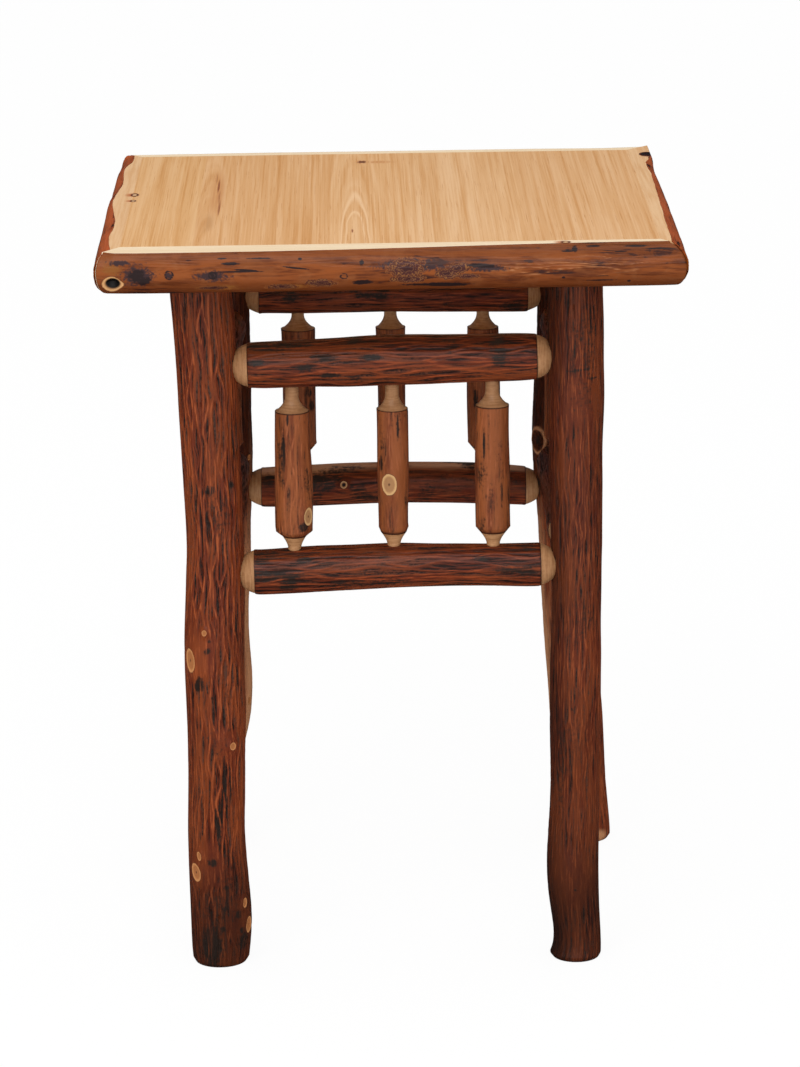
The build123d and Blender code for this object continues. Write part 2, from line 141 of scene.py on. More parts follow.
world = bpy.data.worlds.new("studio")
bpy.context.scene.world = world
world.use_nodes = True
world_tree = world.node_tree
world_tree.nodes.clear()
soft_light = world_tree.nodes.new("ShaderNodeBackground")
soft_light.inputs["Color"].default_value = (1, 1, 1, 1)
soft_light.inputs["Strength"].default_value = sky_strength
white_back = world_tree.nodes.new("ShaderNodeBackground")
white_back.inputs["Color"].default_value = (1, 1, 1, 1)
white_back.inputs["Strength"].default_value = 1.0
sky_mix = world_tree.nodes.new("ShaderNodeMixShader")
world_tree.links.new(camera_or_gloss(world_tree), sky_mix.inputs["Fac"])
world_tree.links.new(soft_light.outputs[0], sky_mix.inputs[1])
world_tree.links.new(white_back.outputs[0], sky_mix.inputs[2])
sky_output = world_tree.nodes.new("ShaderNodeOutputWorld")
world_tree.links.new(sky_mix.outputs[0], sky_output.inputs["Surface"])

lamp_data = bpy.data.lights.new("front_lamp", "AREA")
lamp_data.shape = "RECTANGLE"
lamp_data.size, lamp_data.size_y = lamp_size
lamp_data.energy = lamp_watts
lamp = bpy.data.objects.new("front_lamp", lamp_data)
bpy.context.scene.collection.objects.link(lamp)
lamp.location = lamp_place
lamp.rotation_euler = (lamp_target - lamp_place).to_track_quat("-Z", "Y").to_euler()

bpy.context.scene.view_settings.view_transform = "Standard"

# Camera. It stands 4.3 m in front of the table at eye height and looks down on it, turned
# and rolled by less than a degree.
camera_place = Vector((-0.0380, -4.3498, 1.5610))
camera_down = radians(14.902)
camera_turn = radians(0.608)
camera_roll = radians(0.758)
picture_long_side = 1067
focal_pixels = 4287.9
sensor_width = 36

ahead = Vector((sin(camera_turn), cos(camera_turn), 0))
forward = ahead * cos(camera_down) - Vector((0, 0, sin(camera_down)))
level = Vector((cos(camera_turn), -sin(camera_turn), 0))
upright = level.cross(forward)
right = level * cos(camera_roll) - upright * sin(camera_roll)
up = level * sin(camera_roll) + upright * cos(camera_roll)
camera_data = bpy.data.cameras.new("camera")
camera_data.sensor_fit = "AUTO"
camera_data.sensor_width = sensor_width
camera_data.lens = focal_pixels / picture_long_side * sensor_width
camera = bpy.data.objects.new("camera", camera_data)
bpy.context.scene.collection.objects.link(camera)
turn_matrix = Matrix((right, up, -forward)).transposed()
camera.matrix_world = Matrix.Translation(camera_place) @ turn_matrix.to_4x4()
bpy.context.scene.camera = camera

# Legs. Four natural hickory poles with their bark on, sawn flat at the foot and pinned
# into a batten on top. The bark has interlaced ridges with dark cracks between them, and
# pale sawn knots where twigs were cut flush. All of it is under a clear gloss coat.
mm = 0.001
leg_points_around = 256
leg_station_gap = 1.6 * mm
first_station = 4 * mm
leg_pin_radius = 15 * mm
foot_chamfer = 2.5 * mm
dark_top_height, dark_top_fade = 340 * mm, 140 * mm
dark_foot_height, dark_foot_fade = 170 * mm, 130 * mm
open_half_turn = 78
knot_collar = 1.6 * mm
knot_dip = 0.7 * mm
scar_rim = 2.0 * mm
scar_depth = 3.5 * mm


def skin_tree(node_name):
    """Get a searchable copy of a solid's surface."""
    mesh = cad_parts[node_name].data
    points = [vertex.co for vertex in mesh.vertices]
    return BVHTree.FromPolygons(points, [tuple(face.vertices) for face in mesh.polygons])


def measure_log(node_name, start, end, distances, first, second, open_turns):
    """Measure a log's middle and radius on planes square to the line from start to end.

    It feels for the skin from outside at the turns, in degrees, where the log has no
    holes, and fits a circle to the points that it finds.
    """
    tree = skin_tree(node_name)
    along = (end - start).normalized()
    well_outside = 150 * mm
    middles, radii = [], []
    for distance in distances:
        base = start + along * distance
        rows, squares = [], []
        for turn in open_turns:
            across = first * cos(radians(turn)) + second * sin(radians(turn))
            touch = tree.ray_cast(base + across * well_outside, -across)[0]
            if touch is None:
                continue
            x, y = (touch - base).dot(first), (touch - base).dot(second)
            rows.append((2 * x, 2 * y, 1))
            squares.append(x * x + y * y)
        x, y, rest = np.linalg.lstsq(np.array(rows), np.array(squares), rcond=None)[0]
        middles.append(base + first * x + second * y)
        radii.append((rest + x * x + y * y) ** 0.5)
    return np.array(middles), np.array(radii)


def ease(share):
    """Smooth a share from 0 to 1 so that it starts and ends level."""
    share = np.clip(share, 0, 1)
    return share * share * (3 - 2 * share)


def soft_noise(turn, travel, lumps_around, lump_length, seed):
    """A smooth random swell from -1 to 1 that joins up round the log."""
    rows = int(travel.max() / lump_length) + 3
    swells = np.random.default_rng(seed).uniform(-1, 1, (lumps_around, rows))
    across = turn * lumps_around
    down = travel / lump_length
    column, row = np.floor(across).astype(int), np.floor(down).astype(int)
    slide, drop = ease(across - column), ease(down - row)
    left, right_of = column % lumps_around, (column + 1) % lumps_around
    near = swells[left, row] * (1 - slide) + swells[right_of, row] * slide
    far = swells[left, row + 1] * (1 - slide) + swells[right_of, row + 1] * slide
    return near * (1 - drop) + far * drop


def bark_ridges(turn, travel, ridges_around, weave_length, seed, wander=1.0):
    """Lay out long bark ridges that wander sideways, so that they meet and part again.

    Return how far each point lies from the nearest ridge's crest. The furrow between two
    straight ridges would be at 1.
    """
    narrowest, widest = 0.6, 1.3
    rows = int(travel.max() / weave_length) + 4
    random = np.random.default_rng(seed)
    sways = random.uniform(-wander, wander, (ridges_around, rows))
    widths = random.uniform(narrowest, widest, (ridges_around, rows))
    starts = random.uniform(0, 1, ridges_around)
    across = turn * ridges_around
    column = np.floor(across).astype(int)
    nearest = np.full(turn.shape, 9.0)
    for step in range(-2, 3):
        ridge = (column + step) % ridges_around
        down = travel / weave_length + starts[ridge]
        row = np.floor(down).astype(int)
        drop = ease(down - row)
        sway = sways[ridge, row] * (1 - drop) + sways[ridge, row + 1] * drop
        width = widths[ridge, row] * (1 - drop) + widths[ridge, row + 1] * drop
        gap = np.abs(across - column - step - 0.5 - sway)
        nearest = np.minimum(nearest, 2 * gap / width)
    return nearest


def mark_distance(turn, travel, radius, marks):
    """Measure how far each point lies from the nearest oval mark, where 1 is on its rim.

    A mark is its distance along the log and its turn in degrees, then its half width and
    half length, and its lean in degrees. Lengths are in millimetres.
    """
    nearest = np.full(turn.shape, 9.0)
    for place, degrees, half_width, half_length, lean in marks:
        sideways = (turn - degrees / 360 + 0.5) % 1 - 0.5
        sideways = sideways * 2 * pi * radius / mm
        lengthways = travel / mm - place
        leant_side = sideways * cos(radians(lean)) + lengthways * sin(radians(lean))
        leant_length = lengthways * cos(radians(lean)) - sideways * sin(radians(lean))
        nearest = np.minimum(nearest, np.hypot(leant_side / half_width, leant_length / half_length))
    return nearest


def part_round_marks(turn, travel, radius, marks):
    """Find how far the grain is pushed sideways to flow round each mark, in turns."""
    push = np.zeros(turn.shape)
    for place, degrees, half_width, half_length, lean in marks:
        sideways = ((turn - degrees / 360 + 0.5) % 1 - 0.5) * 2 * pi * radius / mm
        lengthways = travel / mm - place
        fade = np.exp(-((lengthways / (2.0 * half_length)) ** 2) - (sideways / (4.5 * half_width)) ** 2)
        push += fade * half_width * sideways / np.hypot(sideways, half_width)
    return push * mm / (2 * pi * radius)


def marked_piece(name, points, faces, marks, sharp_turn):
    """Make a smooth piece. Edges that turn by more than sharp_turn, in degrees, stay sharp.

    Marks are numbers kept on every point, by name, which the finish reads.
    """
    mesh = bpy.data.meshes.new(name)
    mesh.from_pydata(points.reshape(-1, 3).tolist(), [], faces)
    for mark, values in marks.items():
        layer = mesh.attributes.new(mark, "FLOAT", "POINT")
        layer.data.foreach_set("value", values.astype(np.float32).ravel())
    mesh.shade_smooth()
    mesh.set_sharp_from_angle(angle=radians(sharp_turn))
    piece = bpy.data.objects.new(name, mesh)
    bpy.context.scene.collection.objects.link(piece)
    return piece


def skin_log(name, middles, radii, first, second, marks):
    """Build a log's skin: one ring of points for each row of radii, and flat end caps."""
    rows, around = radii.shape
    turns = np.arange(around) * 2 * pi / around
    spokes = np.cos(turns)[:, None] * np.array(first) + np.sin(turns)[:, None] * np.array(second)
    points = middles[:, None, :] + radii[:, :, None] * spokes[None, :, :]
    corner = np.arange(rows * around).reshape(rows, around)
    beside = np.roll(corner, -1, axis=1)
    quads = np.stack([corner[:-1], beside[:-1], beside[1:], corner[1:]], axis=-1).reshape(-1, 4)
    caps = [corner[0, ::-1].tolist(), corner[-1].tolist()]
    return marked_piece(name, points, quads.tolist() + caps, marks, 62)


def finish_tree(name):
    """Start a new finish and hand back the pieces that a finish is wired from."""
    material = bpy.data.materials.new(name)
    material.use_nodes = True
    tree = material.node_tree
    return material, tree, tree.nodes["Principled BSDF"]


def number_mark(tree, mark):
    """Read a number that the mesh keeps on its points."""
    reader = tree.nodes.new("ShaderNodeAttribute")
    reader.attribute_name = mark
    return reader.outputs["Fac"]


def grain_scale(grain, across, along):
    """Give a noise's waves a metre: one number across the grain and another along it."""
    scale = [across] * 3
    scale[grain] = along
    return scale


def streak_noise(tree, scale, detail=4.0, roughness=0.6, distortion=0.0):
    """Noise whose scale, in waves a metre, differs along each axis of the room."""
    place = tree.nodes.new("ShaderNodeTexCoord")
    stretch = tree.nodes.new("ShaderNodeMapping")
    stretch.inputs["Scale"].default_value = scale
    noise = tree.nodes.new("ShaderNodeTexNoise")
    noise.inputs["Scale"].default_value = 1
    noise.inputs["Detail"].default_value = detail
    noise.inputs["Roughness"].default_value = roughness
    noise.inputs["Distortion"].default_value = distortion
    tree.links.new(place.outputs["Object"], stretch.inputs["Vector"])
    tree.links.new(stretch.outputs["Vector"], noise.inputs["Vector"])
    return noise.outputs["Fac"]


def number_step(tree, value, low, high):
    """Turn a number into a share that rises smoothly from 0 at low to 1 at high."""
    step = tree.nodes.new("ShaderNodeMapRange")
    step.interpolation_type = "SMOOTHSTEP"
    step.inputs["From Min"].default_value = low
    step.inputs["From Max"].default_value = high
    tree.links.new(value, step.inputs["Value"])
    return step.outputs["Result"]


def number_sum(tree, value, other, weight=1.0, offset=0.0):
    """Add another number, times a weight, and an offset."""
    scaled = tree.nodes.new("ShaderNodeMath")
    scaled.operation = "MULTIPLY_ADD"
    scaled.inputs[1].default_value = weight
    scaled.inputs[2].default_value = offset
    tree.links.new(other, scaled.inputs[0])
    total = tree.nodes.new("ShaderNodeMath")
    total.operation = "ADD"
    tree.links.new(value, total.inputs[0])
    tree.links.new(scaled.outputs[0], total.inputs[1])
    return total.outputs[0]


def number_product(tree, value, other):
    """Multiply two numbers."""
    product = tree.nodes.new("ShaderNodeMath")
    product.operation = "MULTIPLY"
    tree.links.new(value, product.inputs[0])
    tree.links.new(other, product.inputs[1])
    return product.outputs[0]


def blend_colours(tree, share, under, over):
    """Lay one colour over another by a share. Each is a fixed colour or a socket."""
    mix = tree.nodes.new("ShaderNodeMix")
    mix.data_type = "RGBA"
    colour_sockets = [socket for socket in mix.inputs if socket.type == "RGBA"]
    for socket, colour in zip(colour_sockets, (under, over)):
        if isinstance(colour, tuple):
            socket.default_value = colour
        else:
            tree.links.new(colour, socket)
    tree.links.new(share, mix.inputs["Factor"])
    return [socket for socket in mix.outputs if socket.type == "RGBA"][0]


def lay_colour(tree, under, over, value, low, high):
    """Lay one colour over another more and more as a number goes from low to high."""
    return blend_colours(tree, number_step(tree, value, low, high), under, over)


def colour_bands(tree, value, bands):
    """Turn a number into a colour by bands of (where it starts, colour)."""
    ramp = tree.nodes.new("ShaderNodeValToRGB")
    while len(ramp.color_ramp.elements) < len(bands):
        ramp.color_ramp.elements.new(1.0)
    for element, (place, colour) in zip(ramp.color_ramp.elements, bands):
        element.position = place
        element.color = colour
    tree.links.new(value, ramp.inputs["Fac"])
    return ramp.outputs["Color"]


def set_roughness(tree, shader, value, smoothest, roughest, most=1.0):
    """Let a number that goes from 0 to most make the surface rougher."""
    roughness = tree.nodes.new("ShaderNodeMapRange")
    roughness.inputs["From Max"].default_value = most
    roughness.inputs["To Min"].default_value = smoothest
    roughness.inputs["To Max"].default_value = roughest
    tree.links.new(value, roughness.inputs["Value"])
    tree.links.new(roughness.outputs["Result"], shader.inputs["Roughness"])


def clear_coat(shader, shine, weight, roughness):
    """Put a clear coat on. Shine is how strongly the wood or bark under it reflects."""
    shader.inputs["Specular IOR Level"].default_value = shine
    shader.inputs["Coat Weight"].default_value = weight
    shader.inputs["Coat Roughness"].default_value = roughness


def raise_grain(tree, shader, height, strength, distance):
    """Give the surface a fine relief."""
    bump = tree.nodes.new("ShaderNodeBump")
    bump.inputs["Strength"].default_value = strength
    bump.inputs["Distance"].default_value = distance
    tree.links.new(height, bump.inputs["Height"])
    tree.links.new(bump.outputs["Normal"], shader.inputs["Normal"])


def bark_finish(name, grain, colours, knot, furrow_start):
    """Bark under a clear gloss coat. Grain is the room's axis along which the log runs.

    Colours are the painted highlight along the ridges' crests, the ridges' reddest and most
    orange, and the furrows' darkest and greyest. Knot is the colours of a sawn knot's middle
    and rim. The lower furrow_start is, the wider the dark furrows are.
    """
    painted_crest_highlight, ridge_red, ridge_orange, furrow_dark, furrow_grey = colours
    material, tree, shader = finish_tree(name)
    fine_streaks = streak_noise(tree, grain_scale(grain, 520, 40), detail=5, roughness=0.65)
    broad_streaks = streak_noise(tree, grain_scale(grain, 60, 9), detail=4, distortion=0.6)
    specks = streak_noise(tree, (260, 260, 260), detail=3)

    # the ridges, with a painted highlight along their crests, and the furrows between them
    hue = number_sum(tree, broad_streaks, fine_streaks, 0.45, -0.22)
    ridge = lay_colour(tree, ridge_red, ridge_orange, hue, 0.38, 0.62)
    lie = number_sum(tree, number_mark(tree, "furrow"), fine_streaks, 1.5, -0.75)
    ridge = lay_colour(tree, ridge, painted_crest_highlight, lie, 0.22, -0.05)
    shade = number_sum(tree, broad_streaks, specks, 0.5, -0.25)
    furrow = lay_colour(tree, furrow_dark, furrow_grey, shade, 0.4, 0.62)
    in_furrow = number_step(tree, lie, furrow_start, furrow_start + 0.38)
    in_furrow = number_product(tree, in_furrow, number_step(tree, shade, 0.74, 0.46))
    bark = blend_colours(tree, in_furrow, ridge, furrow)

    # darker old bark and painted shade, paler worn bark and painted light, and stained places
    bark = blend_colours(tree, number_mark(tree, "age_and_painted_shade"), bark, tint(30, 15, 10))
    wear_and_painted_light = number_sum(tree, number_mark(tree, "wear_and_painted_light"), broad_streaks, -1.4, 0.7)
    bark = lay_colour(tree, bark, tint(166, 116, 80), wear_and_painted_light, 1.2, 0.4)
    ragged = number_sum(tree, number_mark(tree, "stain"), specks, -1.5, 0.75)
    ragged = number_sum(tree, ragged, fine_streaks, -0.9, 0.45)
    off_crests = number_step(tree, lie, -0.25, 0.35)
    stained = number_product(tree, number_step(tree, ragged, 1.25, 0.6), off_crests)
    bark = blend_colours(tree, stained, bark, tint(36, 26, 21))

    # sawn knots, whose colour changes from the middle to a dark rim, and pits in them
    knot_middle, knot_edge = knot
    knot_rim = number_sum(tree, number_mark(tree, "knot"), specks, 0.2, -0.1)
    area_share = number_product(tree, knot_rim, knot_rim)
    knot_bands = (
        (0.0, tint(70, 36, 24)),
        (0.03, knot_middle),
        (0.4, knot_middle),
        (0.7, knot_edge),
        (0.88, knot_edge),
        (1.0, tint(76, 36, 18)),
    )
    knot_wood = colour_bands(tree, area_share, knot_bands)
    in_knot = number_step(tree, knot_rim, 1.06, 0.98)
    bark = blend_colours(tree, in_knot, bark, knot_wood)
    in_pit = number_step(tree, number_mark(tree, "pit"), 1.1, 0.8)
    bark = blend_colours(tree, in_pit, bark, tint(24, 15, 12))

    # turned wood where the bark is peeled off, darkened by painted shade where a piece marks it, and the
    # dark line of the bark's cut edge
    turned = streak_noise(tree, grain_scale(grain, 60, 900), detail=2)
    wood_shade = number_sum(tree, turned, specks, 0.5, -0.25)
    wood = lay_colour(tree, tint(178, 132, 92), tint(150, 106, 70), wood_shade, 0.3, 0.75)
    wood = blend_colours(tree, number_mark(tree, "shade"), wood, tint(92, 58, 36))
    peel = number_mark(tree, "peel")
    edge_line = number_product(tree, number_step(tree, peel, 0.15, 0.5), number_step(tree, peel, 0.95, 0.6))
    bark = lay_colour(tree, bark, wood, peel, 0.6, 0.95)
    bark = blend_colours(tree, edge_line, bark, tint(46, 22, 14))
    tree.links.new(bark, shader.inputs["Base Color"])
    rough = number_sum(tree, number_step(tree, fine_streaks, 0.2, 0.8), in_furrow, 1.2)
    set_roughness(tree, shader, rough, 0.26, 0.68, most=2.2)
    clear_coat(shader, shine=0.12, weight=0.07, roughness=0.2)
    raise_grain(tree, shader, fine_streaks, 0.6, 0.4 * mm)
    return material


def unroll(stations, radii, points_around):
    """Lay a log's skin out flat: each point's turn, how far along it is, and its radius."""
    turn = np.tile(np.arange(points_around) / points_around, (len(stations), 1))
    travel = np.repeat(stations[:, None], points_around, axis=1)
    radius = np.repeat(radii[:, None], points_around, axis=1)
    return turn, travel, radius


def carve_bark(turn, travel, radius, look, seed):
    """Work out a log's bark: how far its skin stands from the log's radius, and its marks.

    A look says how many ridges go round the log, how deep the furrows are in millimetres,
    how much they blur in patches, how soon the ridges weave together and how far they
    wander, how much all of them sway, how big the lumps are, and how patchy and old it is.
    It lists the log's knots, pits, scars, stains, smooth places, and pale places: some worn, the rest
    painted light.
    """

    def near(kind):
        return mark_distance(turn, travel, radius, look.get(kind, []))

    def noise(lumps_around, lump_length, order):
        return soft_noise(turn, travel, lumps_around, lump_length, seed + order)

    # ridges that flow round the knots, and thinner ones that split them
    knots, scars = near("knots"), near("scars")
    push = part_round_marks(turn, travel, radius, look["knots"])
    sway = noise(5, 100 * mm, 0) * look["sway"]
    wobble = noise(36, 12 * mm, 1) * 0.003
    flowing_turn = (turn - push + sway + wobble) % 1
    ridges, weave, wander = look["ridges"], look["weave"], look["wander"]
    lie = bark_ridges(flowing_turn, travel, ridges, weave, seed + 2, wander)
    twigs = bark_ridges(flowing_turn, travel, 2 * ridges, 0.6 * weave, seed + 6, wander)
    lie = np.minimum(lie, 0.45 + 0.7 * twigs)

    # the furrows fade out near knots, in smooth places and here and there
    calm = ease((near("smooth") - 0.5) / 0.8) * ease((knots - 1.0) / 1.4)
    calm = calm * (1 - look["blur"] * (0.5 + 0.5 * noise(6, 90 * mm, 3)))
    furrow = np.minimum(lie, 1.6) / 1.6
    furrow = 0.22 + (furrow - 0.22) * calm
    furrow = furrow + (0.12 - furrow) * ease(2.4 - scars)
    sunk = look["depth"] * mm * calm * ease((lie - 0.3) / 0.9)

    # the log's own lumps, the collars round knots, and the rims and hollows of scars
    lumps = look["lumps"] * mm * noise(7, 45 * mm, 4)
    collar = knot_collar * np.exp(-((np.maximum(knots - 0.9, 0) / 0.9) ** 2))
    collar -= knot_dip * ease((0.9 - knots) / 0.3)
    collar += scar_rim * np.exp(-(((scars - 1.35) / 0.35) ** 2)) - scar_depth * ease(1.2 - scars)

    # stains, also in scars and in chance patches, old bark, and pale places: the worn rims of scars, and
    # the listed ones, most of them painted light
    patches = 1.5 - look["patchy"] * noise(11, look["patch_length"], 5)
    stain = np.minimum(near("stains"), patches)
    stain = np.minimum(stain, 0.1 + 0.9 * scars)
    age_and_painted_shade = np.clip(look["age_and_painted_shade"] + 0.12 * noise(5, 80 * mm, 7), 0, 1)
    wear_and_painted_light = np.minimum(near("wear_and_painted_light"), 0.3 + 2.6 * np.abs(scars - 1.45))
    marks = {"furrow": furrow, "knot": knots, "pit": near("pits"), "stain": stain, "age_and_painted_shade": age_and_painted_shade, "wear_and_painted_light": wear_and_painted_light}
    return lumps + collar - sunk * ease((scars - 1.5) / 0.8), marks


def extend_rows(values, before, after):
    """Repeat the first and last row, for the rings that close a log's ends."""
    return np.vstack([values[:1]] * before + [values] + [values[-1:]] * after)


east, north, sky = Vector((1, 0, 0)), Vector((0, 1, 0)), Vector((0, 0, 1))

# What all legs share, and each leg's own look. Corner is where it stands in the frame, in
# degrees. The darkening at the top, on the side that faces front, and on the left side is
# painted shade, and the darkening at the foot makes the bark darker towards the foot. The
# long pale worn stripes on the back legs are painted light. The marks count their distance
# from the foot, and their turn from the right towards the back.
leg_bark = {
    "weave": 27 * mm,
    "wander": 0.85,
    "sway": 0.008,
    "lumps": 0.7,
    "patchy": 0.5,
    "patch_length": 60 * mm,
}
leg_looks = {
    "leg_front_left": {
        "corner": 225,
        "ridges": 44,
        "depth": 1.2,
        "blur": 0.25,
        "age_and_painted_shade": 0.06,
        "dark_foot": 0.55,
        "knots": [
            (327.6, -139.5, 6.5, 13, 6),
            (358.5, -108.1, 2.6, 3.2, 0),
            (238, -57, 3.4, 4.2, 0),
            (120.5, -125.7, 2.6, 5, 10),
            (102.0, -135.2, 6.4, 10, 14),
            (67.3, -37.4, 3.0, 5.5, -8),
            (42.0, -27.3, 4.8, 9, -6),
        ],
        "stains": [
            (349.6, -99.3, 2.2, 2, 0),
            (339, -103, 4.5, 3, 40),
            (303, -121, 5, 9, -20),
            (290, -95.2, 1.3, 1.5, 0),
            (114.6, -99.3, 4.5, 4.5, 0),
            (87.4, -75.2, 3, 3.2, 0),
            (64.8, -79.6, 3, 2.2, 0),
            (56.1, -52.5, 3.4, 5, 0),
            (38, -45, 2.6, 3, 20),
            (25.2, -40.4, 6, 10, 0),
            (42.1, -85.3, 3.5, 3.5, 0),
            (24, -108, 13, 24, 0),
            (505, -93, 5, 6, 0),
            (510, -48, 3.5, 4, 0),
            (190, -70, 1.6, 34, 3),
            (172, -78, 1.2, 30, -2),
            (150, -84, 1.5, 26, 0),
            (196, -60, 1.0, 24, 4),
            (160, -90, 1.2, 18, 0),
        ],
        "smooth": [
            (335, -125, 22, 30, 0),
            (112, -115, 20, 26, 0),
            (52, -50, 16, 24, 0),
            (240, -66, 15, 18, 0),
        ],
    },
    "leg_front_right": {
        "corner": 315,
        "ridges": 52,
        "depth": 0.8,
        "blur": 0.45,
        "age_and_painted_shade": 0.26,
        "painted_shade_side": 0.32,
        "dark_foot": 0.42,
        "knots": [],
        "stains": [
            (622.5, -88, 14, 1.1, 3),
            (613.5, -57, 7, 1.1, 0),
            (77.9, -89.7, 1.8, 1.3, 0),
            (270.3, -100.5, 1.2, 1.6, 0),
        ],
        "smooth": [(590, -80, 26, 24, 0), (90, -90, 30, 30, 0)],
    },
    "leg_back_left": {
        "corner": 135,
        "ridges": 42,
        "depth": 0.9,
        "blur": 0.5,
        "age_and_painted_shade": 0.0,
        "painted_shade_top": 0.7,
        # the long worn stripe is painted light on the side seen between the legs
        "wear_and_painted_light": [(150, -8, 22, 260, 0)],
        "knots": [(446, -32.8, 2.6, 3.4, 0), (169.4, -29.4, 3, 5, 0)],
        "stains": [(446, -32.8, 3.6, 4.6, 0), (560, 120, 12, 20, 0)],
        "smooth": [(446, -32.8, 14, 30, 0), (160, -30, 16, 40, 0)],
    },
    "leg_back_right": {
        "corner": 45,
        "ridges": 44,
        "depth": 0.9,
        "blur": 0.5,
        "age_and_painted_shade": 0.0,
        "painted_shade_top": 0.75,
        # the long worn stripe is painted light on the side seen between the legs
        "wear_and_painted_light": [(7, -60, 15, 9, 0), (150, -174, 21, 260, 0)],
        "knots": [(128, -150, 5, 9, 0), (330, 20, 6, 10, 0)],
        "scars": [(460, -144, 8, 9.5, -6)],
        "stains": [(410, -150, 5, 12, 0), (300, 70, 12, 22, 0)],
        "smooth": [(460, -152.3, 16, 30, 0), (330, 20, 18, 26, 0)],
    },
}
# the first of the colours is the painted highlight on the ridges' crests
leg_finish = bark_finish(
    "leg_bark",
    grain=2,
    colours=(tint(142, 70, 35), tint(92, 36, 17), tint(112, 50, 20), tint(30, 16, 11), tint(58, 48, 41)),
    knot=(tint(148, 92, 52), tint(174, 118, 72)),
    furrow_start=0.32,
)

pin_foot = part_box("batten_front")[0].z
for number, (leg_name, own_look) in enumerate(leg_looks.items()):
    look = {**leg_bark, **own_look}
    low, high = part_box(leg_name)
    stations = np.arange(first_station, pin_foot - mm, leg_station_gap)
    middle = (low + high) / 2
    base, crown = Vector((middle.x, middle.y, 0)), Vector((middle.x, middle.y, high.z))
    corner = look["corner"]
    outward = range(corner - open_half_turn, corner + open_half_turn + 1, 12)
    middles, radii = measure_log(leg_name, base, crown, stations, east, north, outward)
    turn, travel, radius = unroll(stations, radii, leg_points_around)
    bark, marks = carve_bark(turn, travel, radius, look, 10 * number + 11)

    # painted shade near the top on the side facing front and on the left side, and bark that gets darker
    # towards the foot
    faces_front = ease(0.6 - np.sin(2 * pi * turn))
    near_top = ease((travel - dark_top_height) / dark_top_fade)
    near_foot = ease((dark_foot_height - travel) / dark_foot_fade)
    marks["age_and_painted_shade"] += look.get("painted_shade_top", 0) * near_top * faces_front
    marks["age_and_painted_shade"] += look.get("dark_foot", 0) * near_foot
    marks["age_and_painted_shade"] += look.get("painted_shade_side", 0) * ease(-np.cos(2 * pi * turn))

    # the chamfered foot below the bark, and the pin above it
    bark = radius + bark
    foot = np.full((1, leg_points_around), radii[0] - foot_chamfer)
    pin = np.full((2, leg_points_around), leg_pin_radius)
    skin = np.vstack([foot, bark, bark[-1:], pin])
    foot_middle = np.array([[*middles[0][:2], 0.0]])
    top_middles = np.array([[*middles[-1][:2], z] for z in (pin_foot, pin_foot, high.z)])
    middles = np.vstack([foot_middle, middles, top_middles])
    marks = {mark: extend_rows(values, 1, 3) for mark, values in marks.items()}

    # peel is 0 on bark and 1 on turned wood, and between them is the bark's dark cut edge
    marks["peel"] = np.zeros_like(skin)
    marks["peel"][0] = 0.3
    marks["peel"][-2:] = 1
    leg = skin_log(leg_name + "_bark", middles, skin, east, north, marks)
    leg.data.materials.append(leg_finish)
    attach(leg, "root")
    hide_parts(leg_name)

# Rails. Eight shorter logs with their bark on. Each end is turned to a pale dome that
# seats against the leg, and to a tenon that is glued into the leg behind it.
rail_points_around = 220
rail_station_gap = 1.3 * mm
rail_tenon = 27 * mm
rail_dome = 10.5 * mm
rail_seat = 5 * mm
dome_rings = 22
bark_thickness = 0.9 * mm
bark_edge = 0.9 * mm
bark_fade = 4 * mm
rail_edge_line = 1.4 * mm
hair = 0.05 * mm
rail_top_painted_shade = 0.26


def end_middles(node_name, axis):
    """Find the middle of a turned piece's two flat tips, along the room's axis."""
    points = np.array([vertex.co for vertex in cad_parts[node_name].data.vertices])
    along = points[:, axis]
    first = points[along < along.min() + mm].mean(axis=0)
    last = points[along > along.max() - mm].mean(axis=0)
    return Vector(first), Vector(last)


def rail_middles_and_radii(rail_name, axis, stations):
    """Measure a rail round its two sides, which have no holes for spindles."""
    start, end = end_middles(rail_name, axis)
    along = (end - start).normalized()
    outward = -north if axis == 0 else east
    outward = (outward - along * outward.dot(along)).normalized()
    upward = (sky - along * sky.dot(along)).normalized()
    sides = [*range(-60, 61, 12), *range(120, 241, 12)]
    middles, radii = measure_log(rail_name, start, end, stations, outward, upward, sides)
    return middles, radii, outward, upward


# What all rails share, and each rail's own look. The marks count their distance from its
# left or front tip, and their turn from the side that faces front or right, upwards.
rail_bark = {
    "ridges": 34,
    "depth": 0.6,
    "blur": 0.5,
    "weave": 32 * mm,
    "wander": 0.85,
    "sway": 0.012,
    "lumps": 0.6,
    "patchy": 1.0,
    "patch_length": 24 * mm,
    "age_and_painted_shade": 0.02,
    "knots": [],
}
rail_looks = {
    "rail_front_upper": {
        "stains": [
            (47.5, 17.3, 4, 9, 0),
            (113, 24.5, 3.5, 16, 3),
            (160.7, 18.7, 4, 12, 0),
            (119.6, -19.2, 3.5, 10, 0),
        ],
    },
    "rail_front_lower": {"stains": [(44.2, 42.9, 4, 10, 0), (88.9, 39.3, 3.5, 9, 0)]},
    "rail_back_upper": {},
    "rail_back_lower": {
        "knots": [(127.3, 11.2, 3.8, 3.8, 0)],
        "pits": [(127.3, 11.2, 2.0, 2.0, 0)],
        "stains": [(111.2, 10.3, 6, 7, 0), (45, 35, 8, 9, 0)],
        # the worn places are a painted highlight along the top of the rail
        "wear_and_painted_light": [(90, 82, 14, 120, 0), (260, 88, 14, 120, 0)],
        "depth": 0.25,
        "blur": 1.0,
    },
    "rail_left_upper": {},
    "rail_left_lower": {"knots": [(150, 170, 4, 6, 0)]},
    "rail_right_upper": {"knots": [(210, 8, 4, 6, 0)]},
    "rail_right_lower": {},
}
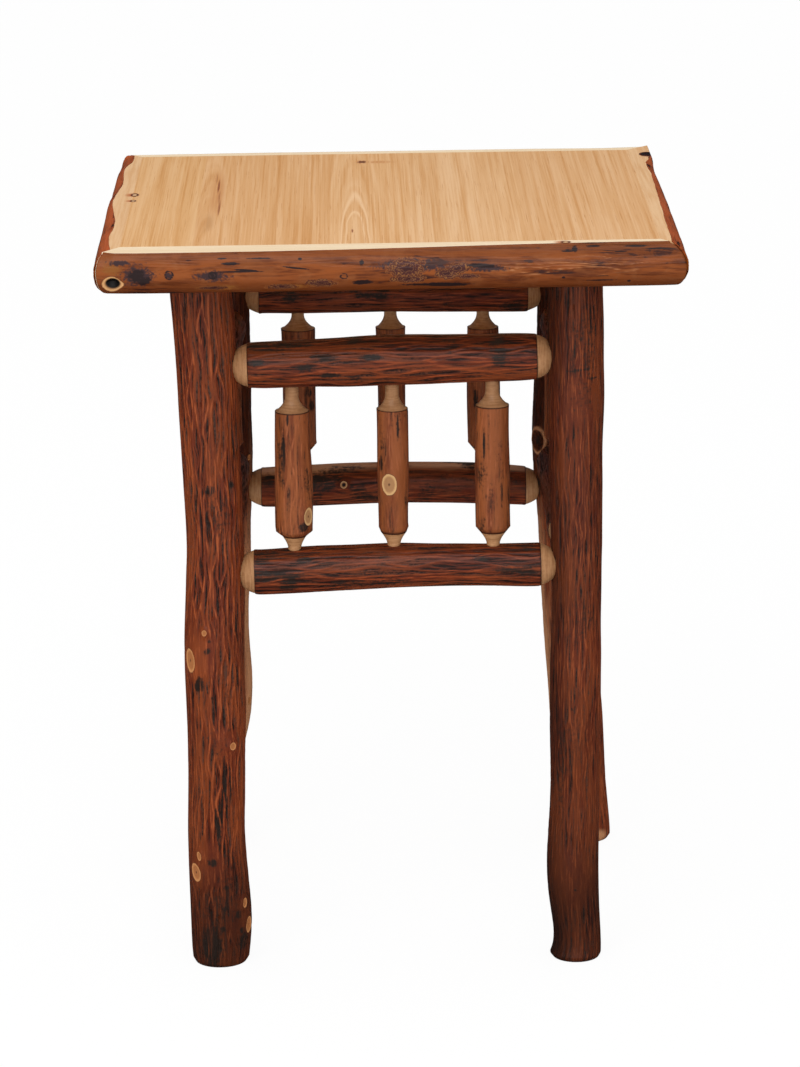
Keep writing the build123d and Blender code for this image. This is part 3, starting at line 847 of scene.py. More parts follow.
# the first of the colours is the painted highlight on the ridges' crests
rail_colours = (tint(138, 64, 32), tint(92, 36, 17), tint(112, 52, 24), tint(34, 16, 11), tint(44, 32, 27))
rail_knot = (tint(132, 90, 58), tint(176, 136, 94))
rail_finishes = [
    bark_finish("rail_bark_" + run, grain, rail_colours, rail_knot, furrow_start=0.22)
    for grain, run in enumerate(("across", "deep"))
]

for number, (rail_name, own_look) in enumerate(rail_looks.items()):
    look = {**rail_bark, **own_look}
    axis = 0 if "front" in rail_name or "back" in rail_name else 1
    start, end = end_middles(rail_name, axis)
    length = (end - start).length
    shoulder = rail_tenon + rail_dome

    # rings of points: one at each tip, many over each dome, and those of the bark
    tip = 0.3 * mm
    dome = np.linspace(rail_tenon - rail_seat, shoulder - hair, dome_rings)
    body = np.arange(shoulder + hair, length - shoulder, rail_station_gap)
    body[-1] = length - shoulder - hair
    stations = np.concatenate([[tip], dome, body, length - dome[::-1], [length - tip]])
    middles, radii, outward, upward = rail_middles_and_radii(rail_name, axis, stations)
    first, last = 1 + len(dome), 1 + len(dome) + len(body)

    # the bark, with painted shade on its upper side under the table top, and its rounded edges
    turn, travel, radius = unroll(stations, radii, rail_points_around)
    turn, travel = turn[first:last], travel[first:last]
    bark, bark_marks = carve_bark(turn, travel, radius[first:last], look, 10 * number + 101)
    bark_marks["age_and_painted_shade"] += rail_top_painted_shade * ease((np.sin(2 * pi * turn) + 0.35) / 0.8)
    near_edge = np.minimum(travel - shoulder, length - shoulder - travel)
    bark = bark * ease(near_edge / bark_fade)
    rounding = bark_edge * np.clip(1 - near_edge / bark_edge, 0, 1) ** 2 * 0.35
    skin = radius.copy()
    skin[first:last] += bark - rounding

    # the domes, turned a bark's thickness below it
    peeled_off = np.ones(len(stations))
    peeled_off[first:last] = 0
    peeled_off[0] = peeled_off[-1] = 0
    dome_fade = np.concatenate([[0], np.linspace(0, 1, len(dome)) ** 0.5])
    peeled_off[:first] *= dome_fade
    peeled_off[last:] *= dome_fade[::-1]
    skin -= bark_thickness * peeled_off[:, None]
    marks = {mark: extend_rows(values, first, first) for mark, values in bark_marks.items()}
    marks["peel"] = np.ones_like(skin)
    marks["peel"][first:last] = 0.55 * ease(1 - near_edge / rail_edge_line)
    # painted shade darkens the turned domes a little
    marks["shade"] = np.full_like(skin, 0.2)
    rail = skin_log(rail_name + "_bark", middles, skin, outward, upward, marks)
    rail.data.materials.append(rail_finishes[axis])
    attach(rail, "root")
    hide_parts(rail_name)

# Spindles. Twelve short logs with smooth bark. Both ends are turned down to a pale neck
# that flares towards the bark, and to a pin that is glued into a hole in its rail.
spindle_points_around = 128
spindle_station_gap = 1.1 * mm
spindle_pin_depth = 14 * mm
spindle_pin_radius = 6.75 * mm
spindle_bevel = 5.2 * mm
low_cove_length, low_cove_rings, low_cove_bend = 12 * mm, 16, 1.5
high_cove_length, high_cove_rings, high_cove_bend = 15 * mm, 20, 2.1
bark_step = 1.3 * mm
spindle_edge_line = 1.2 * mm
# how much painted shade darkens the upper necks of the front spindles and of the others
front_neck_shade, neck_shade = 0.42, 0.1
# how long the lower and upper neck are
spindle_necks = {
    "front": (18.5 * mm, 24 * mm),
    "back": (25.5 * mm, 17 * mm),
    "side": (19 * mm, 19 * mm),
}

# What all spindles share, and each one's own look. Bevel is how thick the bottom of the
# bevel under the bark is, as a share of the bark's own radius. The marks count their
# distance from its lower tip, and their turn as on the legs.
spindle_bark = {
    "bevel": 0.76,
    "ridges": 30,
    "depth": 0.25,
    "blur": 0.9,
    "weave": 30 * mm,
    "wander": 0.8,
    "sway": 0.006,
    "lumps": 0.5,
    "patchy": 0.65,
    "patch_length": 30 * mm,
    "age_and_painted_shade": 0.08,
    "knots": [],
}
spindle_looks = {
    "spindle_front_left": {
        "bevel": 0.66,
        "knots": [(50.3, -44.8, 5.4, 9.5, 0)],
        "stains": [(40.2, -60, 5, 5, 0), (124.9, -119.5, 1.6, 16, 2), (150, -105, 1.2, 10, 0)],
    },
    "spindle_front_middle": {
        "bevel": 0.86,
        "knots": [(80.4, -104.4, 7.4, 11.4, 0)],
        "stains": [(101.3, -139.6, 3, 9, 0), (140, -70, 1.5, 12, 0)],
    },
    "spindle_front_right": {"stains": [(120, -120, 1.5, 18, 0), (70, -60, 1.3, 14, 0)]},
    "spindle_back_left": {"stains": [(83.4, -41.2, 4, 7, 10), (98, -51.2, 3, 5, 0)]},
    "spindle_back_middle": {},
    "spindle_back_right": {"stains": [(90, -120, 3, 12, 0)]},
    "spindle_left_front": {"knots": [(70, 190, 4.5, 7, 0)]},
    "spindle_left_middle": {},
    "spindle_left_back": {"stains": [(80, 170, 3, 10, 0)]},
    "spindle_right_front": {},
    "spindle_right_middle": {"knots": [(62, 15, 5, 7.5, 0)]},
    "spindle_right_back": {"stains": [(66, -10, 3, 12, 0)]},
}
# the first of the colours is the painted highlight on the ridges' crests
spindle_finish = bark_finish(
    "spindle_bark",
    grain=2,
    colours=(tint(146, 82, 48), tint(104, 50, 26), tint(132, 72, 38), tint(52, 27, 17), tint(70, 44, 30)),
    knot=(tint(146, 106, 70), tint(182, 142, 96)),
    furrow_start=0.3,
)

for number, (spindle_name, own_look) in enumerate(spindle_looks.items()):
    look = {**spindle_bark, **own_look}
    bay = spindle_name.split("_")[1]
    bottom_neck, top_neck = spindle_necks.get(bay, spindle_necks["side"])
    start, end = end_middles(spindle_name, 2)
    length = (end - start).length
    along = (end - start).normalized()
    outward = (east - along * east.dot(along)).normalized()
    inward = (north - along * north.dot(along)).normalized()
    low_edge, high_edge = spindle_pin_depth + bottom_neck, length - spindle_pin_depth - top_neck
    body = np.arange(low_edge + hair, high_edge, spindle_station_gap)
    body[-1] = high_edge - hair
    turns = range(0, 360, 20)
    body_middles, body_radii = measure_log(spindle_name, start, end, body, outward, inward, turns)

    # the lower neck flares out to a bevel under the bark, the upper one to just inside it
    low_share = np.linspace(0, 1, low_cove_rings)
    low_flare = body_radii[0] * look["bevel"] - spindle_pin_radius
    low_cove_radii = spindle_pin_radius + low_flare * low_share**low_cove_bend
    low_cove = low_edge - spindle_bevel - low_cove_length * (1 - low_share)
    high_share = np.linspace(0, 1, high_cove_rings)
    high_flare = body_radii[-1] - bark_step - spindle_pin_radius
    high_cove_radii = spindle_pin_radius + high_flare * (1 - high_share) ** high_cove_bend
    high_cove = high_edge + 2 * hair + high_cove_length * high_share
    stations = np.concatenate([[0], low_cove, body, high_cove, [length]])
    pin = [spindle_pin_radius]
    radii = np.concatenate([pin, low_cove_radii, body_radii, high_cove_radii, pin])
    first, last = 1 + len(low_cove), 1 + len(low_cove) + len(body)
    middles = np.array([start + along * distance for distance in stations])
    middles[first:last] = body_middles

    # the bark, which fades out towards both necks
    turn, travel, radius = unroll(stations, radii, spindle_points_around)
    turn, travel = turn[first:last], travel[first:last]
    bark, bark_marks = carve_bark(turn, travel, radius[first:last], look, 10 * number + 201)
    near_top = high_edge - travel
    near_edge = np.minimum(travel - low_edge, near_top)
    skin = radius.copy()
    skin[first:last] += bark * ease(near_edge / bark_fade)
    after = len(stations) - last
    marks = {mark: extend_rows(values, first, after) for mark, values in bark_marks.items()}
    marks["peel"] = np.ones_like(skin)
    marks["peel"][first:last] = 0.55 * ease(1 - near_top / spindle_edge_line)
    marks["peel"][first - 1] = 0.5
    # painted shade darkens the upper necks, in the shadow of the rail above
    marks["shade"] = np.zeros_like(skin)
    marks["shade"][last:] = front_neck_shade if bay == "front" else neck_shade
    spindle = skin_log(spindle_name + "_bark", middles, skin, outward, inward, marks)
    spindle.data.materials.append(spindle_finish)
    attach(spindle, "root")
    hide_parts(spindle_name)

# Battens. Two planed boards across the underside. They tie the top's boards together with
# screws, and take the pins of the legs. Beech dowels hold the edging to the boards.


def plain_wood_finish(name, grain, light, dark, roughness):
    """Planed wood without a finish, its grain along one of the room's axes."""
    material, tree, shader = finish_tree(name)
    grain_lines = streak_noise(tree, grain_scale(grain, 300, 9), detail=5, roughness=0.6, distortion=0.4)
    wood = lay_colour(tree, light, dark, grain_lines, 0.3, 0.7)
    tree.links.new(wood, shader.inputs["Base Color"])
    shader.inputs["Roughness"].default_value = roughness
    raise_grain(tree, shader, grain_lines, 0.25, 0.3 * mm)
    return material


def dress(node_name, material):
    """Give one of the frame's own solids its finish."""
    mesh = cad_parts[node_name].data
    mesh.materials.clear()
    mesh.materials.append(material)


batten_finish = plain_wood_finish("batten_wood", 0, tint(206, 172, 126), tint(180, 140, 96), 0.7)
for batten_name in ("batten_front", "batten_back"):
    dress(batten_name, batten_finish)
dress("edge_dowels", plain_wood_finish("dowel_wood", 1, tint(212, 182, 140), tint(190, 154, 110), 0.65))

# Screws. Zinc-plated wood screws, driven up through the battens into the boards.
screw_finish, screw_tree, screw_shader = finish_tree("screw_zinc")
zinc_cloud = streak_noise(screw_tree, (900, 900, 900), detail=3)
zinc = lay_colour(screw_tree, tint(206, 206, 200), tint(184, 186, 184), zinc_cloud, 0.3, 0.7)
screw_tree.links.new(zinc, screw_shader.inputs["Base Color"])
screw_shader.inputs["Metallic"].default_value = 1.0
screw_shader.inputs["Roughness"].default_value = 0.38
dress("batten_screws", screw_finish)

# Boards. Five flat hickory boards, edge to edge, their grain from front to back. They are
# planed flush and have a satin clear coat.
ring_gap = 3.6 * mm


def oval_mask(tree, place, half_x, half_y, low=1.0, high=0.7):
    """Give 1 inside an oval drawn on the top face and 0 outside it. Lengths are in mm."""
    x, y = place
    coordinates = tree.nodes.new("ShaderNodeTexCoord")
    oval = tree.nodes.new("ShaderNodeMapping")
    oval.inputs["Location"].default_value = (-x / half_x, -y / half_y, 0)
    oval.inputs["Scale"].default_value = (1 / (half_x * mm), 1 / (half_y * mm), 0)
    reach = tree.nodes.new("ShaderNodeVectorMath")
    reach.operation = "LENGTH"
    tree.links.new(coordinates.outputs["Object"], oval.inputs["Vector"])
    tree.links.new(oval.outputs["Vector"], reach.inputs[0])
    return number_step(tree, reach.outputs["Value"], low, high)


def year_rings(tree, heart_x, heart_height, tilt, sway, waves):
    """Draw the year rings of a board, sawn from a log whose heart may lean through it.

    They are noise over the distance from the heart, so their widths and shades differ. The
    distance comes back with them.
    """
    coordinates = tree.nodes.new("ShaderNodeTexCoord")
    lean = tree.nodes.new("ShaderNodeMapping")
    lean.inputs["Rotation"].default_value = (tilt, 0, 0)
    lean.inputs["Location"].default_value = (-heart_x, 0, -heart_height)
    flatten = tree.nodes.new("ShaderNodeMapping")
    flatten.inputs["Scale"].default_value = (1, 0, 1)
    tree.links.new(coordinates.outputs["Object"], lean.inputs["Vector"])
    tree.links.new(lean.outputs["Vector"], flatten.inputs["Vector"])
    reach = tree.nodes.new("ShaderNodeVectorMath")
    reach.operation = "LENGTH"
    tree.links.new(flatten.outputs["Vector"], reach.inputs[0])
    wavy = number_sum(tree, reach.outputs["Value"], waves, sway, -0.5 * sway)
    split = tree.nodes.new("ShaderNodeSeparateXYZ")
    tree.links.new(coordinates.outputs["Object"], split.inputs["Vector"])
    place = tree.nodes.new("ShaderNodeCombineXYZ")
    tree.links.new(wavy, place.inputs["X"])
    tree.links.new(split.outputs["Y"], place.inputs["Y"])
    place.inputs["Z"].default_value = heart_x
    stretch = tree.nodes.new("ShaderNodeMapping")
    stretch.inputs["Scale"].default_value = (1 / ring_gap, 2.2, 1)
    tree.links.new(place.outputs["Vector"], stretch.inputs["Vector"])
    rings = tree.nodes.new("ShaderNodeTexNoise")
    rings.inputs["Scale"].default_value = 1
    rings.inputs["Detail"].default_value = 3
    rings.inputs["Roughness"].default_value = 0.55
    tree.links.new(stretch.outputs["Vector"], rings.inputs["Vector"])
    return rings.outputs["Fac"], wavy


def knot_on_top(tree, wood, place, half_x, half_y):
    """Draw a small tight knot in planed wood: a dark rim round a pale middle."""
    x, y = place
    stained = oval_mask(tree, (x - 0.6 * half_x, y), 2.2 * half_x, 1.5 * half_y, 1.0, 0.2)
    wood = blend_colours(tree, stained, wood, tint(182, 106, 62))
    rim = oval_mask(tree, place, half_x, half_y, 1.1, 0.85)
    wood = blend_colours(tree, rim, wood, tint(90, 40, 24))
    middle = oval_mask(tree, place, 0.6 * half_x, 0.55 * half_y, 1.1, 0.6)
    return blend_colours(tree, middle, wood, tint(218, 178, 134))


# Each board's own look. Heart is where the middle of its log lies, across the table and up,
# and how it leans. The lengths of knots and marks on the top face are in millimetres.
board_looks = {
    "top_board_1": {
        "heart": (-0.618, 0.10, 0.004),
        "rings": 1.0,
        "base": (221, 169, 112),
        "knots": [((-261.3, 31), 4.4, 9.5), ((-261.5, -3), 3.4, 6)],
    },
    "top_board_2": {
        "heart": (-0.183, 0.75, 0.03),
        "rings": 1.1,
        "base": (219, 166, 111),
        "marks": [
            ("stain", (-176, 40), 9, 150),
            ("patch", (-184, -130), 11, 60),
            ("split", (-178, 120), 1.2, 40),
            ("split", (-175.5, 74), 1.5, 44),
            ("split", (-173.5, 10), 1.1, 44),
            ("split", (-172, -50), 1.3, 50),
        ],
    },
    "top_board_3": {
        "heart": (-0.034, 0.7443, 0.03),
        "rings": 1.1,
        "base": (223, 172, 118),
        "arches": [(18 * mm, 1.2 * mm), (14.8 * mm, 0.6 * mm)],
        "marks": [
            ("stain", (-6, 206), 20, 9),
            ("split", (-25, 207.7), 8, 12),
            ("core", (-25, 207.7), 5, 7),
            ("split", (-37.6, -183.1), 2.2, 12),
        ],
    },
    "top_board_4": {"heart": (0.42, 0.2, 0.004), "rings": 0.9, "base": (224, 175, 123)},
    "top_board_5": {"heart": (0.66, 0.3, 0.006), "rings": 0.8, "base": (220, 169, 116)},
}
mark_colours = {
    "split": tint(150, 82, 46),
    "core": tint(104, 48, 28),
    "patch": tint(202, 150, 98),
    "stain": tint(206, 146, 92),
}


def board_finish(name, look):
    """Planed hickory: year rings, fine pores, pale wavy streaks and the board's own marks."""
    material, tree, shader = finish_tree(name)
    red, green, blue = look["base"]
    base = tint(red, green, blue)
    pale = tint(red + 8, green + 13, blue + 18)
    deep = tint(red - 12, green - 18, blue - 23)
    waves = streak_noise(tree, (14, 5, 14), detail=2)
    pores = streak_noise(tree, (1100, 11, 1100), detail=2, roughness=0.6)
    lines = streak_noise(tree, (640, 2.2, 640), detail=2, roughness=0.5, distortion=0.12)
    bands = streak_noise(tree, (44, 1.2, 44), detail=2, roughness=0.5, distortion=0.3)
    heart_x, heart_height, tilt = look["heart"]
    rings, distance = year_rings(tree, heart_x, heart_height, tilt, 0.006, waves)
    streaky = number_sum(tree, lines, bands, 0.2, -0.1)
    streaky = number_sum(tree, streaky, rings, look["rings"], -0.5 * look["rings"])
    wood = lay_colour(tree, base, pale, streaky, 0.46, 0.74)
    wood = lay_colour(tree, wood, deep, streaky, 0.5, 0.2)

    # single rings that stand out pale, the pores, and the board's own marks
    for radius, half_width in look.get("arches", []):
        rising = number_step(tree, distance, radius - half_width, radius)
        falling = number_step(tree, distance, radius + half_width, radius)
        arch = number_product(tree, rising, falling)
        wood = blend_colours(tree, arch, wood, tint(red + 14, green + 22, blue + 30))
    in_pore = number_step(tree, pores, 0.4, 0.28)
    wood = blend_colours(tree, in_pore, wood, tint(red - 24, green - 30, blue - 32))
    for kind, place, half_x, half_y in look.get("marks", []):
        inside = oval_mask(tree, place, half_x, half_y, 1.15, 0.35)
        low, high = (0.1, 0.3) if kind == "core" else (0.35, 0.55)
        broken = number_product(tree, inside, number_step(tree, lines, low, high))
        wood = blend_colours(tree, broken, wood, mark_colours[kind])
    for place, half_x, half_y in look.get("knots", []):
        wood = knot_on_top(tree, wood, place, half_x, half_y)
    tree.links.new(wood, shader.inputs["Base Color"])
    set_roughness(tree, shader, in_pore, 0.36, 0.5)
    clear_coat(shader, shine=0.35, weight=0.1, roughness=0.3)
    raise_grain(tree, shader, pores, 0.2, 0.2 * mm)
    return material


for board_name, look in board_looks.items():
    dress(board_name, board_finish(board_name + "_wood", look))

# Edging. Four split logs round the boards, planed flush on top, mitred at the corners and
# held by dowels. The face keeps its smooth bark, with its knots, cracks and crusts.
edge_belly_drop = 20 * mm
edge_height = 42 * mm
edge_under_round = 16 * mm
edge_station_gap = 1.1 * mm
feeler_gap = 2 * mm
least_flat, least_shoulder = 2 * mm, 3 * mm
end_taper = 26 * mm
flat_columns = 20
shoulder_columns = 44
under_columns = 20
bottom_columns = 4
settling_rounds = 5

# Each edging's own look. Run is the axis it lies along, 0 for X and 1 for Y, and outward the
# side it faces. Sap is how pale its planed top is, mitre_round how far its rim at the mitres
# is rounded off, wave how much the flat's edge wanders, widen by how much the flat is wider
# at which places, and end_narrowing the share that it loses towards its ends. The other
# lists hold ovals: place along the edging, height above the floor, half width, half height,
# and lean in degrees. Those of bark_over lie on the flat and count from the boards. All
# lengths are in millimetres.
edge_looks = {
    "edge_front": {
        "run": 0,
        "outward": -1,
        "sap": 1.0,
        "mitre_round": 2.6,
        "wave": 0.3,
        "end_narrowing": 0.4,
        "knots": [(-268.7, 731.8, 11.5, 8.8, 0, 1.25)],
        "holes": [(-268.9, 732.3, 7.6, 6.2, 0)],
        "rings": [
            (-214.4, 741, 4.6, 4.6, 0),
            (-172.4, 740, 4.4, 3.8, 0),
            (-45.6, 737.5, 4.0, 3.0, 0),
        ],
        "clouds": [
            (-245.5, 740.5, 15, 11, 0),
            (-262, 753.5, 12, 2.6, 0),
            (-172.8, 739.5, 17, 5.5, 0),
            (-214.4, 741, 3.6, 3.6, 0),
            (25, 748, 44, 6, 0),
            (92, 744, 22, 3.5, -3),
        ],
        "golds": [(-269, 747.5, 12, 6.5, 0), (-96, 727.5, 18, 3.2, 0), (-165, 727, 22, 3, 0)],
        "stains": [
            (-246, 741, 8, 7, 10),
            (-238, 735, 7, 4, 20),
            (-172.4, 740, 1.8, 1.8, 0),
            (-154.8, 751.8, 9, 1.6, 0),
            (-162.9, 757, 6, 0.9, 0),
            (-150.6, 743.6, 26, 0.8, 0),
            (-140, 745.2, 12, 1.0, -4),
            (-127.3, 756.5, 14, 0.8, 0),
            (-91.3, 746.5, 14, 0.9, -7),
            (-87.8, 755.3, 1.8, 1.3, 0),
            (-28.4, 750.9, 2.6, 3.2, 0),
            (-28, 731, 11, 2.4, 0),
            (87.6, 746.3, 15, 2.2, -3),
            (177.7, 758.9, 2.8, 2.6, 0),
            (171, 757.5, 7, 0.8, 0),
            (196.4, 760.6, 7, 0.7, 0),
            (237, 760.2, 12, 0.7, 0),
            (258.9, 758.2, 14, 0.7, 0),
            (222, 756.5, 8, 0.5, 0),
            (170, 737.3, 8, 0.7, 0),
            (203.5, 734, 10, 0.7, 0),
            (202.6, 729, 18, 0.9, 0),
            (166.5, 732.4, 1.6, 1.4, 0),
            (229.8, 727.8, 2, 1.2, 0),
            (48, 727, 34, 2.2, 0),
        ],
        "crusts": [
            (-68, 730.6, 16, 4.5, 0),
            (-172, 726.6, 16, 2.4, 0),
            (-106, 727, 16, 3.5, 0),
            (14.7, 744.5, 19, 11, 0),
            (16, 733, 20, 4, 0),
            (64, 743.5, 14, 6, 10),
            (54, 738.5, 13, 6, 0),
            (74, 735.5, 12, 3, 0),
        ],
        "folds": [(200, 745, 72, 13, 0), (130, 742, 44, 11, 0)],
    },
    "edge_back": {
        "run": 0,
        "outward": 1,
        "sap": 1.0,
        "mitre_round": 0,
        "wave": 0.4,
        "knots": [(122, 742, 7, 6, 0), (-148, 738, 4, 3.4, 0)],
        "widen": [(236, 0), (262, 3), (290, 6)],
        "bark_over": [(284, 25, 7, 3, 0)],
        "stains": [(-58, 745, 30, 3, 0), (202, 736, 18, 5, 0), (32, 730, 12, 3, 0)],
        "crusts": [(-208, 738, 20, 8, 0), (72, 734, 16, 5, 0)],
        "folds": [(-18, 744, 60, 9, 0)],
    },
    "edge_left": {
        "run": 1,
        "outward": -1,
        "sap": 0.12,
        "mitre_round": 0,
        "wave": 0.4,
        "widen": [(225, 0), (255, 6), (290, 8)],
        "knots": [(60, 742, 6, 5, 0)],
        "stains": [(-180, 752, 20, 3, 0), (-60, 748, 34, 2, 0), (160, 745, 24, 3, 0)],
        "crusts": [(-110, 738, 22, 8, 0), (210, 742, 14, 8, 0)],
        "folds": [(20, 744, 60, 10, 0)],
    },
    "edge_right": {
        "run": 1,
        "outward": 1,
        "sap": 0.12,
        "mitre_round": 0,
        "wave": 0.4,
        "knots": [(-90, 740, 6, 5, 0), (150, 738, 4, 4, 0)],
        "widen": [(-290, 3), (110, 3), (180, 0), (215, 8), (250, 14), (290, 14)],
        "bark_over": [(230, 20, 14, 8.5, 0), (205, 28, 22, 8, 0)],
        "stains": [(240, 757, 30, 9, 0), (-200, 750, 26, 2, 0), (60, 748, 30, 2, 0)],
        "crusts": [(-20, 738, 22, 7, 0)],
        "folds": [(-140, 744, 50, 9, 0)],
    },
}


def oval_distance(side, rise, ovals):
    """Measure how far points lie from the nearest oval, where 1 is on its rim. In mm.

    An oval with a sixth number below 2 comes to a point at its right.
    """
    nearest = np.full(side.shape, 9.0)
    for place, height, half_width, half_height, lean, *point in ovals:
        across, up_from = side / mm - place, rise / mm - height
        turned_across = (across * cos(radians(lean)) + up_from * sin(radians(lean))) / half_width
        turned_up = (up_from * cos(radians(lean)) - across * sin(radians(lean))) / half_height
        power = np.where(turned_across > 0, point[0] if point else 2, 2)
        reach = (np.abs(turned_across) ** power + np.abs(turned_up) ** power) ** (1 / power)
        nearest = np.minimum(nearest, reach)
    return nearest


def measure_edge(edge_name, run, outward, inner_face, table_top, places):
    """Feel for the edging's reach at its widest, and work out how wide its sawn flat is."""
    tree = skin_tree(edge_name)
    across = Vector((0, 0, 0))
    across[1 - run] = outward
    high_share = 0.8
    narrowing = (1 - high_share**2) ** 0.5
    far_out = inner_face + 0.1 * outward
    reaches, flats = [], []
    for place in places:
        found = []
        for drop in (edge_belly_drop, edge_belly_drop * (1 - high_share)):
            start = Vector((0, 0, table_top - drop))
            start[run] = place
            start[1 - run] = far_out
            touch = tree.ray_cast(start, -across)[0]
            found.append(np.nan if touch is None else abs(touch[1 - run] - inner_face))
        reach, shoulder = found
        reaches.append(reach)
        flats.append((shoulder - narrowing * reach) / (1 - narrowing))
    reaches, flats = np.array(reaches), np.array(flats)
    good = ~np.isnan(flats) & ~np.isnan(reaches)
    return np.interp(places, places[good], reaches[good]), np.interp(places, places[good], flats[good])


def edge_finish(name, grain, upper, top_knots):
    """Smooth bark on the face, with crusts, knots and cracks, and planed sapwood on top.

    Upper is the colour of the painted light laid on the bark near the sawn flat.
    """
    material, tree, shader = finish_tree(name)
    fine_streaks = streak_noise(tree, grain_scale(grain, 420, 26), detail=5, roughness=0.65)
    broad_streaks = streak_noise(tree, grain_scale(grain, 90, 11), detail=4, distortion=0.8)
    clouds = streak_noise(tree, (30, 30, 55), detail=3, distortion=0.8)
    specks = streak_noise(tree, (330, 330, 330), detail=4)

    # the bark's colour, with painted light making it lighter above and painted shade making it darker below
    hue = number_sum(tree, broad_streaks, fine_streaks, 0.5, -0.25)
    bark = lay_colour(tree, tint(84, 36, 6), tint(127, 64, 21), hue, 0.36, 0.6)
    pink = number_step(tree, clouds, 0.5, 0.66)
    bark = blend_colours(tree, number_product(tree, pink, hue), bark, tint(131, 75, 37))
    painted_light_above = number_step(tree, number_mark(tree, "height"), 0.62, 0.95)
    bark = blend_colours(tree, number_product(tree, painted_light_above, hue), bark, upper)
    painted_shade_below = number_step(tree, number_mark(tree, "height"), 0.5, 0.1)
    bark = blend_colours(tree, number_product(tree, painted_shade_below, hue), bark, tint(66, 24, 3))

    # gold and cloudy places, dark dashes, and folds with a painted highlight on their crests
    gold = number_sum(tree, number_mark(tree, "gold"), specks, -1.2, 0.6)
    gold = number_step(tree, number_sum(tree, gold, fine_streaks, -1.6, 0.8), 1.2, 0.3)
    bark = blend_colours(tree, gold, bark, tint(122, 72, 26))
    cloudy = number_sum(tree, number_mark(tree, "cloud"), broad_streaks, -1.6, 0.8)
    cloudy = number_sum(tree, cloudy, specks, -2.2, 1.1)
    bark = lay_colour(tree, bark, tint(52, 33, 34), cloudy, 1.15, 0.5)
    dashes = number_sum(tree, hue, clouds, 0.9, -0.45)
    bark = lay_colour(tree, bark, tint(54, 24, 15), dashes, 0.34, 0.26)
    fold = number_sum(tree, number_mark(tree, "fold"), fine_streaks, 0.8, -0.4)
    bark = lay_colour(tree, bark, tint(148, 94, 56), fold, 0.55, 1.0)

    # crusts banded like a shell, ragged dark stains, knots and holes
    crust_rim = number_sum(tree, number_mark(tree, "crust"), specks, 1.2, -0.6)
    crust_bands = (
        (0.0, tint(50, 22, 20)),
        (0.3, tint(62, 28, 25)),
        (0.36, tint(122, 78, 46)),
        (0.41, tint(58, 26, 23)),
        (0.62, tint(72, 33, 26)),
        (0.68, tint(136, 88, 44)),
        (0.74, tint(66, 30, 20)),
        (0.9, tint(88, 42, 22)),
        (0.95, tint(140, 86, 40)),
        (1.0, tint(70, 32, 16)),
    )
    in_crust = number_step(tree, crust_rim, 1.02, 0.9)
    bark = blend_colours(tree, in_crust, bark, colour_bands(tree, crust_rim, crust_bands))
    ragged = number_sum(tree, number_mark(tree, "stain"), specks, -1.0, 0.5)
    ragged = number_sum(tree, ragged, fine_streaks, -1.2, 0.6)
    stained = number_step(tree, ragged, 1.15, 0.75)
    bark = blend_colours(tree, stained, bark, tint(34, 20, 20))
    knot_rim = number_sum(tree, number_mark(tree, "knot"), specks, 0.2, -0.1)
    knot_bands = (
        (0.0, tint(84, 42, 26)),
        (0.5, tint(110, 66, 38)),
        (0.7, tint(170, 124, 80)),
        (0.86, tint(196, 150, 100)),
        (0.96, tint(150, 96, 54)),
        (1.0, tint(60, 32, 18)),
    )
    in_knot = number_step(tree, knot_rim, 1.06, 0.98)
    bark = blend_colours(tree, in_knot, bark, colour_bands(tree, knot_rim, knot_bands))
    in_hole = number_step(tree, number_mark(tree, "hole"), 1.1, 0.8)
    bark = blend_colours(tree, in_hole, bark, tint(16, 13, 12))

    # the planed top, and the dark line where the bark begins
    grain_lines = streak_noise(tree, grain_scale(grain, 330, 9), detail=5, distortion=0.3)
    grain_share = number_step(tree, grain_lines, 0.34, 0.66)
    heartwood = blend_colours(tree, grain_share, tint(221, 177, 130), tint(209, 158, 107))
    sapwood = blend_colours(tree, grain_share, tint(236, 215, 184), tint(228, 201, 164))
    wood = blend_colours(tree, number_mark(tree, "sap"), heartwood, sapwood)
    for place, half_x, half_y in top_knots:
        wood = knot_on_top(tree, wood, place, half_x, half_y)
    on_top = number_mark(tree, "planed")
    line = number_product(tree, number_step(tree, on_top, 0.05, 0.4), number_step(tree, on_top, 0.9, 0.55))
    finish = lay_colour(tree, bark, wood, on_top, 0.4, 0.9)
    finish = blend_colours(tree, line, finish, tint(96, 46, 26))
    tree.links.new(finish, shader.inputs["Base Color"])
    set_roughness(tree, shader, fine_streaks, 0.3, 0.5)
    clear_coat(shader, shine=0.14, weight=0.07, roughness=0.2)
    raise_grain(tree, shader, fine_streaks, 0.25, 0.3 * mm)
    return material


# the third argument of each is the colour of the painted light near the sawn flat
edge_finishes = [
    edge_finish("edge_bark_across", 0, tint(111, 56, 19), [((170, -257.5), 5.2, 6)]),
    edge_finish("edge_bark_deep", 1, tint(190, 88, 44), board_looks["top_board_1"]["knots"]),
]

